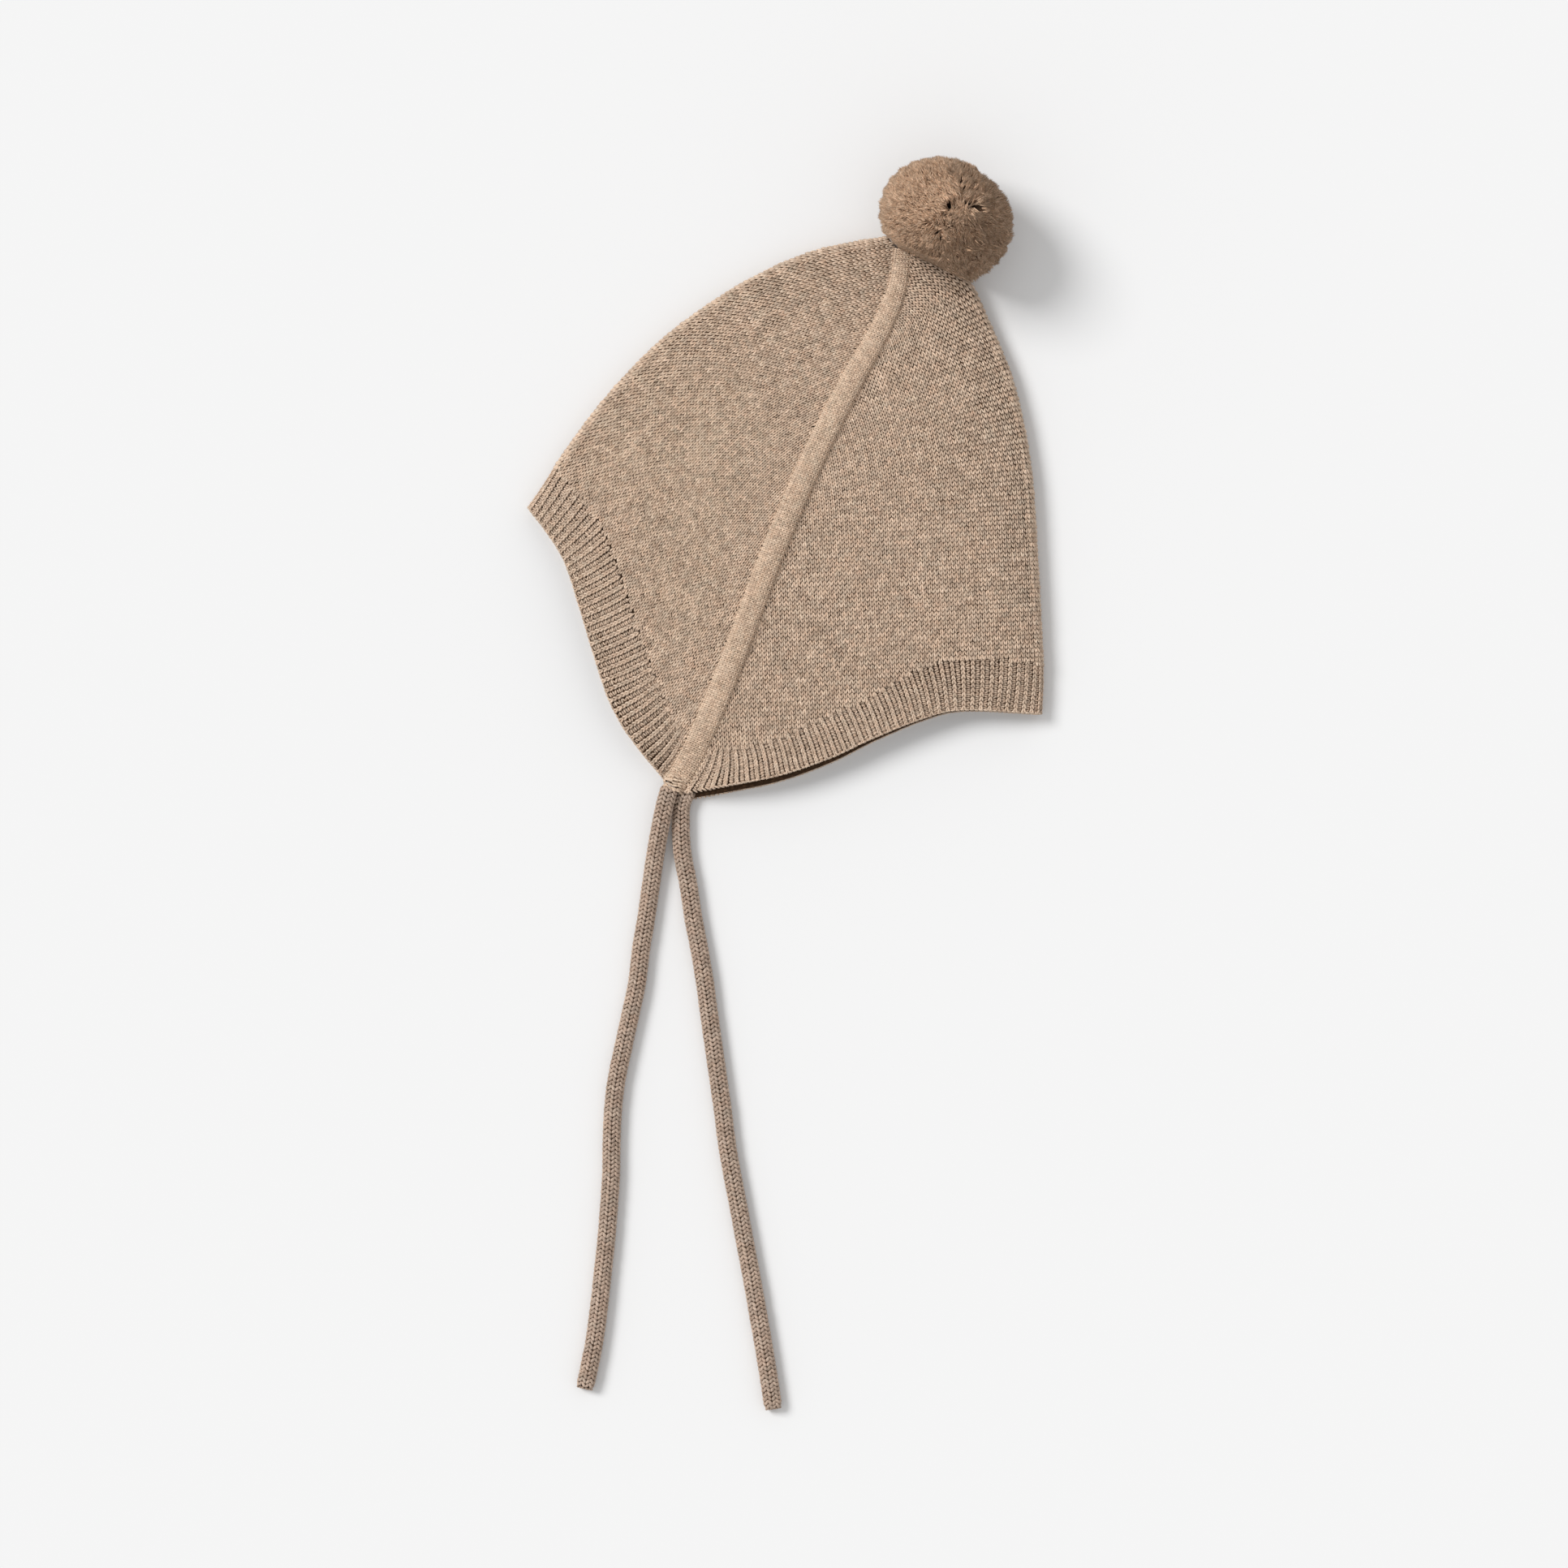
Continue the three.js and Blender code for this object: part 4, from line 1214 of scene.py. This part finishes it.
def knit_cord(name, roll, model, outward):
    """Legs laid over a roll, whose outer side is up for 1 and down for -1."""
    stitches = Copies(model)
    columns = np.arange(0.8 * MM, cord_line.length - 0.5 * MM, CORD_WALE) / cord_line.length
    share, turn = [], []
    for at in columns:
        angle = np.linspace(0, math.pi, 80)
        section = roll(np.full(80, at), angle)
        hops = np.concatenate([[0], np.cumsum(np.linalg.norm(np.diff(section, axis=0), axis=1))])
        count = max(4, round(hops[-1] / CORD_COURSE))
        steps = (np.arange(count) + 0.5) / count * hops[-1]
        turn.append(np.interp(steps, hops, angle))
        share.append(np.full(count, at))
    share, turn = np.concatenate(share), np.concatenate(turn)
    wale = CORD_WALE / cord_line.length
    for hand in (-1, 1):
        at = share + hand * CORD_LEG_APART * wale
        over, lengthways, out = axes_on(roll, at, turn, step=0.01)
        out = out * np.where(out[:, 2] * outward < 0, -1, 1)[:, None]
        across = unit(np.cross(over, out))
        facing = np.sign((across * lengthways).sum(1))
        tilted = -hand * facing * CORD_LEG_TILT
        centre = roll(at, turn) - out * CORD_LEG_SUNK
        axes = lean(across, over, out, tilted, dive=CORD_LEG_DIVE)
        size = CORD_LEG * jitter(len(share), 0.09)
        row = turn * 4 + FIRST_ROW["cord"]
        note = np.stack([share * CORD_STREAK, row, chance.random(len(share))], axis=1)
        stitches.add(centre, *axes, size, note)
    return stitches.joined(name, cord_yarn, "cord_knit")


knit_cord("side_cord_near_stitches", near_roll, LEG, 1)
knit_cord("side_cord_far_stitches", far_roll, LOW_LEG, -1)

# %% [markdown]
# The cord is sewn down by a row of small stitches in the crease on each side. They are single
# legs that lean over, a little bigger on the side of the back panel.

# %% The seams beside the cord
SEAM_STITCH, SEAM_LEAN, SEAM_DIVE, SEAM_SUNK = 1.7 * MM, 0.5, 0.25, 0.30 * MM
SEAM_LEGS = ((1, (0.42, 0.85, 0.42)), (-1, (0.50, 0.95, 0.50)))


def sew_down(name):
    """A row of small round stitches in the crease on each side of the near cord."""
    beads = Copies(LEG)
    for side, size in SEAM_LEGS:
        share = np.arange(3 * MM, cord_line.length - 1 * MM, SEAM_STITCH) / cord_line.length
        half = cord_size(CORD_WIDTH, share) / 2 + 0.1 * MM
        place = beside_cord(share, side * half)
        along = cord_line.heading(share * cord_line.length)
        along = np.column_stack([along, np.zeros(len(share))])
        up = np.tile([0.0, 0.0, 1.0], (len(share), 1))
        across = np.cross(along, up)
        axes = lean(across, along, up, side * SEAM_LEAN, dive=SEAM_DIVE)
        centre = np.column_stack([place, near_top(place) - SEAM_SUNK])
        row = np.full(len(share), FIRST_ROW["seam"] + side)
        note = np.stack([share * CORD_STREAK, row, chance.random(len(share))], axis=1)
        beads.add(centre, *axes, np.array(size) * MM * jitter(len(share), 0.08), note)
    return beads.joined(name, cord_yarn, "cord_knit")


sew_down("side_cord_near_seam")

# %% [markdown]
# At the ear tip the cord, both ribs and the tie come together. A few wraps of yarn gather them
# there, so eight rows of legs are laid over the tip like the rungs of a ladder. They bend down
# at both ends, and they narrow and rise towards the tie.

# %% The tack at the ear tip
TACK_AT, TACK_HEADING = np.array([-40.6, -111.6]) * MM, unit(np.array([-0.30, -0.95]))
# Rows of wraps, from the cord down to the tie: distance, height, half width in mm.
TACK_ROWS = [
    (-3.6, 6.3, 5.2), (-2.2, 6.8, 4.9), (-1.2, 7.1, 4.8), (-0.2, 7.3, 4.6), (0.8, 7.5, 4.4),
    (1.8, 7.6, 4.2), (2.8, 7.7, 4.0), (3.8, 7.8, 3.8),
]
TACK_LEGS, TACK_BEND, TACK_LEG = 7, 1.35, np.array([0.52, 1.35, 0.52]) * MM
TACK_LOW, TACK_SUNK = 3.0, 0.5  # height in mm of the row's two ends, and how deep it all lies
TACK_STRAY, TACK_SHIFT, TACK_WAVER = 0.2, 0.15, 0.12  # in place, round the tip and in direction


def tack(name):
    """Wraps of yarn that gather the ear tip and the start of the tie."""
    wraps = Copies(FAT_LEG)
    left = np.array([-TACK_HEADING[1], TACK_HEADING[0]])
    for at, height, half in TACK_ROWS:
        turns = np.linspace(-TACK_BEND, TACK_BEND, TACK_LEGS)
        turns = turns + TACK_SHIFT * (chance.random() - 0.5)
        for turn in turns:
            out = left * math.sin(turn)
            place = TACK_AT + TACK_HEADING * (at + TACK_STRAY * chance.standard_normal()) * MM
            place = place + out * half * MM
            high = TACK_LOW + (height - TACK_LOW) * math.cos(turn)
            centre = np.array([[*place, (high - TACK_SUNK) * MM]])
            lengthways = np.array([[*(left * math.cos(turn)), -math.sin(turn) * 0.8]])
            lengthways = unit(lengthways + TACK_WAVER * chance.standard_normal((1, 3)))
            up = unit(np.array([[*out, math.cos(turn)]]))
            across = unit(np.cross(lengthways, up))
            note = np.array([[at * 3, FIRST_ROW["tack"] + at, chance.random()]])
            wraps.add(centre, across, lengthways, np.cross(across, lengthways), TACK_LEG, note)
    return wraps.joined(name, cord_yarn, "cord_knit")


tack("ear_tip_tack")

# %% [markdown]
# ## The pompom
#
# A pompom is a bundle of yarn ends tied tightly round the middle and trimmed to a ball. Hair
# particles would make it, but they leave no mesh behind. So every end is one fine strand here,
# with three sides that meet in a tip, modelled once and copied tens of thousands of times. The
# strands start in a core close under the surface and stop at the trimmed surface, which is not a
# perfect ball: it is blunt and lumpy, with a parting where the ends fall to both sides and
# hollows where they lie open. It rests on the table and leans on the crown, so the strands and
# the core are drawn in there too.

# %% The trimmed surface
POMPOM_AT, POMPOM_SIZE = np.array([58.2, 94.6, 21.5]) * MM, np.array([26.0, 22.5, 23.4]) * MM
POMPOM_TURN = -0.55
BLUNT = 2.35  # 2 is an even ball, more has a flatter top
LEANING = 0.09  # how much higher the ball is at its right end than in the middle
BALL_SHARE = 0.965  # the tips end a little inside the ball, as the lumps stand out of it
SLOW_LUMPS, QUICK_LUMPS = 0.018, 0.014
# Hollows, in mm: place from above, radius, depth, how far the strands round it lie over.
HOLLOWS = [
    (65.9, 99.1, 1.6, 7.0, 0.6), (67.8, 98.3, 1.9, 8.0, 0.7), (69.8, 97.2, 1.6, 7.0, 0.7),
    (67.8, 98.2, 7.0, 2.4, 0.9), (59.3, 98.2, 2.3, 5.5, 0.5), (51.4, 91.9, 2.1, 5.0, 0.5),
    (54.9, 88.4, 2.0, 5.0, 0.5), (56.2, 86.6, 2.0, 5.0, 0.5), (64.9, 105.2, 2.0, 4.4, 0.4),
    (63.8, 107.6, 1.8, 4.2, 0.4), (60.2, 112.0, 1.6, 3.2, 0.4),
]
# The open middle of a hollow, which few strands cross, in mm: place and radius.
OPENINGS = [
    (65.5, 99.3, 0.9), (66.7, 98.8, 1.3), (68.2, 98.1, 1.4), (69.7, 97.3, 1.2), (70.8, 96.7, 0.8),
    (59.3, 98.2, 1.2), (59.6, 99.6, 0.7), (51.4, 91.9, 0.8), (54.9, 88.4, 0.8), (56.2, 86.6, 0.9),
    (64.9, 105.2, 0.8), (63.8, 107.6, 0.6),
]
LOOSE_AT, LOOSE_WIDE = np.array([67.8, 98.2]) * MM, 8 * MM
PARTING = [
    (61.5, 113.5), (60.8, 109.6), (62.6, 107.4), (64.4, 104.8), (61.6, 101.0), (59.2, 98.0),
    (56.6, 94.8), (52.4, 92.6), (53.0, 89.6), (56.0, 87.4), (57.5, 84.0),
]
PARTING_WIDE, PARTING_DEEP = 1.6 * MM, 2.6 * MM
CROWN_LINE = np.array([
    (30.0, 93.6), (35.5, 90.0), (40.6, 85.2), (45.7, 82.6), (57.6, 76.9), (66.1, 72.4), (72.0, 66.0),
]) * MM


def turned(places, angle):
    """Places turned about the upright axis."""
    c, s = math.cos(angle), math.sin(angle)
    x, y, z = places.T
    return np.column_stack([c * x - s * y, s * x + c * y, z])


def lumps(arrows):
    """A gentle unevenness of the ball, as a share of its radius."""
    x, y, z = arrows.T
    slow = np.sin(4.1 * x + 1.0) * np.sin(3.7 * y + 2.0) + np.sin(4.6 * z + 2.6 * x)
    quick = np.sin(9.5 * x + 3 * y) * np.sin(8.7 * y - 5 * z + 1.3)
    level = np.hypot(x, y) ** BLUNT + np.abs(z) ** BLUNT
    return level ** (-1 / BLUNT) - 1 + SLOW_LUMPS * slow + QUICK_LUMPS * quick


def waves(length, kinds=8):
    """Smooth noise in space, three numbers for a place, in waves of about this length."""
    pushes = [unit(chance.standard_normal((3, 3))) * (2 * math.pi / length) for _ in range(kinds)]
    starts = [chance.random(3) * 2 * math.pi for _ in range(kinds)]

    def noise(places):
        each = [np.sin(places @ push.T + start) for push, start in zip(pushes, starts)]
        return sum(each) / math.sqrt(kinds)

    return noise


tufts, sway, huddle = waves(4.6 * MM), waves(7 * MM), waves(2.6 * MM)
drift_of = waves(8 * MM)


def looseness(places):
    """0 where the ends are cut level and seen from their tips, 1 round the open hollow."""
    gap = np.linalg.norm(places[:, :2] - LOOSE_AT, axis=1)
    to_the_right = 0.40 * np.clip((places[:, 0] - 57 * MM) / (12 * MM), 0, 1)
    return np.maximum(np.exp(-(gap / LOOSE_WIDE) ** 2), to_the_right)


def sink_of(place, arrows):
    """How deep the hollows and the parting sink under a place of the ball."""
    sink = np.zeros(len(arrows))
    for x, y, radius, depth, _ in HOLLOWS:
        gap = np.hypot(place[:, 0] - x * MM, place[:, 1] - y * MM)
        sink = np.maximum(sink, depth * MM * np.exp(-(gap / (radius * MM)) ** 2))
    gap = nearest(parting.points, place[:, :2])
    sink = np.maximum(sink, PARTING_DEEP * np.exp(-(gap / PARTING_WIDE) ** 2))
    return sink * np.clip(arrows[:, 2], 0, 1) ** 0.5


def trimmed(arrows):
    """The surface of the ball in the direction of each arrow."""
    ball = turned(arrows * POMPOM_SIZE, POMPOM_TURN) * (BALL_SHARE + lumps(arrows))[:, None]
    ball[:, 2] *= 1 + LEANING * ball[:, 0] / POMPOM_SIZE[0]
    place = POMPOM_AT + ball
    uneven = tufts(place)[:, 0] * (0.55 + 0.35 * looseness(place)) * MM
    return place - unit(ball) * (sink_of(place, arrows) - uneven)[:, None]


parting = Line([(x * MM, y * MM) for x, y in PARTING])
print("parting", round(parting.length / MM), "mm long, with", len(HOLLOWS), "hollows")

# %% [markdown]
# The strands point away from the middle, and then lean: away from the hollows and the parting,
# together in small tufts, and a little each on its own. Strands that would run into the cap or
# the table are cut short, and those that would cross the open middle of a hollow are left out.

# %% Strands from the core to the surface
POMPOM_STRANDS, SPARSE_BELOW = 46000, 0.30
STRAND_THICK, STRAND_THICK_BELOW = 0.31 * MM, 0.50 * MM
STRAND_LONG, STRAND_LONG_LOOSE = 3.2 * MM, 5.4 * MM
CORE_UNDER, CORE_UNDER_LOOSE = 1.7 * MM, 2.3 * MM
UNDERSIDE = -0.15  # below this level the strands are fewer and thicker
PULLS, PULL_SHARE = 45, 0.04
# How strongly strands sway and huddle and stray: where they stand even, and how much more loose.
SWAY, HUDDLE, STRAYING, MOST_LEAN = (0.10, 0.40), (0.24, 0.22), (0.20, 0.10), (0.7, 0.35)
TIP_UNEVEN, CLEAR_OF_TABLE, OPEN_ABOVE = 0.26 * MM, 0.3 * MM, 8 * MM
RAGGED_FROM, RAGGED_BY = 0.30, 0.95  # how far into an opening a strand may reach
SHORTEST, THINNED = 0.2, 0.15  # shares: of a strand that must be free, and of loose ones left out


def model_of_strand():
    """A thin strand along Y, from 0 to 1, with three sides that meet in a fine tip."""
    bpy.ops.object.select_all(action="DESELECT")
    bpy.ops.mesh.primitive_cone_add(
        vertices=3, radius1=1, radius2=0, depth=1, end_fill_type="NGON", location=(0, 0, 0.5))
    bpy.ops.object.transform_apply(location=True)
    corners, faces = taken_apart(bpy.context.object)
    return corners[:, [1, 2, 0]], faces


def over_the_crown(places):
    """Which places are inside the cap, under the pompom."""
    x, y, z = places.T
    inside = y < np.interp(x, *CROWN_LINE.T) - 0.3 * MM
    low = np.flatnonzero(~inside & (y < 92 * MM) & (z < 12 * MM))
    lowest = near_top(places[low, :2]) + 0.5 * MM
    for outline in crown_outlines:
        inside[low] |= within(outline, places[low, :2]) & (z[low] < lowest)
    return inside


crown_outlines = [outline_of(front_plan), outline_of(back_plan)]


def strand_field(count):
    """Arrows spread evenly over the ball, but fewer of them on its underside."""
    level = np.linspace(-1, 1, 400)
    dense = np.cumsum(np.where(level > UNDERSIDE, 1.0, SPARSE_BELOW))
    lift = np.interp((np.arange(count) + 0.5) / count * dense[-1], dense, level)
    round_about = np.arange(count) * math.pi * (1 + math.sqrt(5))
    out = np.sqrt(1 - lift**2)
    arrows = np.column_stack([out * np.cos(round_about), out * np.sin(round_about), lift])
    return unit(arrows + 0.008 * chance.standard_normal((count, 3)))


def fallen_over(tips, arrows):
    """How the strands lean: away from the hollows and from the parting."""
    flow = np.zeros_like(tips)
    for x, y, radius, _, laid in HOLLOWS:
        away = tips[:, :2] - np.array([x, y]) * MM
        gap = np.linalg.norm(away, axis=1)
        share = laid * np.exp(-(gap / (1.8 * radius * MM)) ** 2) * (arrows[:, 2] > 0)
        flow[:, :2] += unit(away) * share[:, None]
    gaps = np.linalg.norm(tips[:, None, :2] - parting.points[None, ::6], axis=-1)
    near = gaps.argmin(1)
    away = tips[:, :2] - parting.points[::6][near]
    share = 0.3 * np.exp(-(gaps.min(1) / (2.5 * PARTING_WIDE)) ** 2) * (arrows[:, 2] > 0)
    flow[:, :2] += unit(away) * share[:, None]
    return flow


def pulled_in(places, under=0.0):
    """Places drawn towards the middle until they are this far clear of the cap."""
    for _ in range(PULLS):
        stopped = over_the_crown(places + unit(places - POMPOM_AT) * under)
        if not stopped.any():
            break
        places[stopped] += (POMPOM_AT - places[stopped]) * PULL_SHARE
    return places


def leaned(tips, arrows, loose):
    """Headings of the strands, which lean more where they are loose."""
    swayed, huddled, strayed, most = (
        even + more * loose for even, more in (SWAY, HUDDLE, STRAYING, MOST_LEAN))
    lean_over = fallen_over(tips, arrows) + swayed * sway(tips) + huddled * huddle(tips)
    lean_over += strayed * chance.standard_normal((len(tips), 3))
    lean_over *= np.minimum(1, most / np.linalg.norm(lean_over, axis=1, keepdims=True))
    return unit(unit(tips - POMPOM_AT) + lean_over)


def cut_short(roots, tips):
    """The share of each strand that is free, and which strands keep clear of the openings."""
    share, keep = np.ones(len(tips)), np.ones(len(tips), bool)
    ragged = RAGGED_FROM + RAGGED_BY * chance.random(len(tips))
    for part in np.linspace(0.0, 1.0, 11)[::-1]:
        places = roots + (tips - roots) * part
        stopped = over_the_crown(places) | (places[:, 2] < CLEAR_OF_TABLE)
        share = np.where(stopped, np.minimum(share, part - 0.1), share)
        for x, y, radius in OPENINGS:
            gap = np.hypot(places[:, 0] - x * MM, places[:, 1] - y * MM)
            low = places[:, 2] < POMPOM_AT[2] + OPEN_ABOVE
            keep &= (gap > radius * MM * ragged) | low
    return share, keep


def make_pompom():
    arrows = strand_field(POMPOM_STRANDS)
    tips = pulled_in(trimmed(arrows))
    loose = looseness(tips)[:, None]
    heading = leaned(tips, arrows, loose)
    tips = tips + heading * (TIP_UNEVEN * chance.standard_normal((len(tips), 1)))
    roots = tips - heading * (STRAND_LONG + (STRAND_LONG_LOOSE - STRAND_LONG) * loose)
    share, keep = cut_short(roots, tips)
    keep &= (share > SHORTEST) & (chance.random(len(tips)) > THINNED * loose[:, 0])
    roots, tips, share, arrows = roots[keep], tips[keep], share[keep], arrows[keep]
    tips = roots + (tips - roots) * share[:, None]
    lengthways = unit(tips - roots)
    across = unit(np.cross(lengthways, chance.standard_normal(tips.shape)))
    strands = Copies(model_of_strand())
    count = len(tips)
    thick = np.where(arrows[:, 2:] > UNDERSIDE, STRAND_THICK, STRAND_THICK_BELOW)
    thick = thick * jitter(count, 0.15)
    size = np.hstack([thick, np.linalg.norm(tips - roots, axis=1)[:, None], thick])
    drift = drift_of(tips)
    note = np.column_stack([14 * drift[:, 0], 0.35 * drift[:, 1], chance.random(count)])
    strands.add(roots, across, lengthways, unit(np.cross(across, lengthways)), size, note)
    return strands.joined("pompom_strands", pompom_yarn, "pompom_yarn")


# %% [markdown]
# The core is a ball of fine triangles that follows the trimmed surface from a little under it.
# It could be hidden deep inside, but then thousands more strands would be needed to close the
# pompom. Here the strands need only cover the last few millimetres.

# %% The core, and the whole pompom
# Hollows are painted darker the deeper they sink, as their shade; at this depth the painted shade is
# darkest.
PAINTED_SHADE_DEPTH = 2.5 * MM  # a hollow this deep shows the darkest shade
CORE_LOW = 0.9 * MM


def pompom_core():
    bpy.ops.object.select_all(action="DESELECT")
    bpy.ops.mesh.primitive_ico_sphere_add(subdivisions=5, radius=1)
    core = bpy.context.object
    core.name = core.data.name = "pompom_core"
    arrows = unit(np.array([v.co for v in core.data.vertices]))
    surface = trimmed(arrows)
    under = CORE_UNDER + (CORE_UNDER_LOOSE - CORE_UNDER) * looseness(surface)
    places = surface - unit(surface - POMPOM_AT) * under[:, None]
    # The deep attribute paints the hollows darker with their depth, as shade.
    deep = np.clip(sink_of(surface, arrows) / PAINTED_SHADE_DEPTH, 0, 1)
    places[:, 2] = np.maximum(places[:, 2], CORE_LOW)
    places = pulled_in(places, CORE_UNDER)
    core.data.vertices.foreach_set("co", places.ravel())
    core.data.attributes.new("deep", "FLOAT", "POINT").data.foreach_set("value", deep)
    core.data.materials.append(pompom_inside)
    bpy.ops.object.shade_smooth()
    return placed(core, "pompom_yarn", "pompom")


pompom_core()
make_pompom()

# %% [markdown]
# ## The cloth in place of the CAD parts
#
# The four folded pieces ride with the bonnet, and the CAD parts that they stand for are hidden.
# A shaped panel fills about four fifths of the rectangle round it.


def declare(cloth, area, node, slot):
    placed(cloth, slot, node)


declare(front_cloth, front_area, "front_panel", "panel_knit")
declare(back_cloth, back_area, "back_panel", "panel_knit")
declare(face_cloth, face_area, "face_rib", "rib_knit")
declare(neck_cloth, neck_area, "neck_rib", "rib_knit")
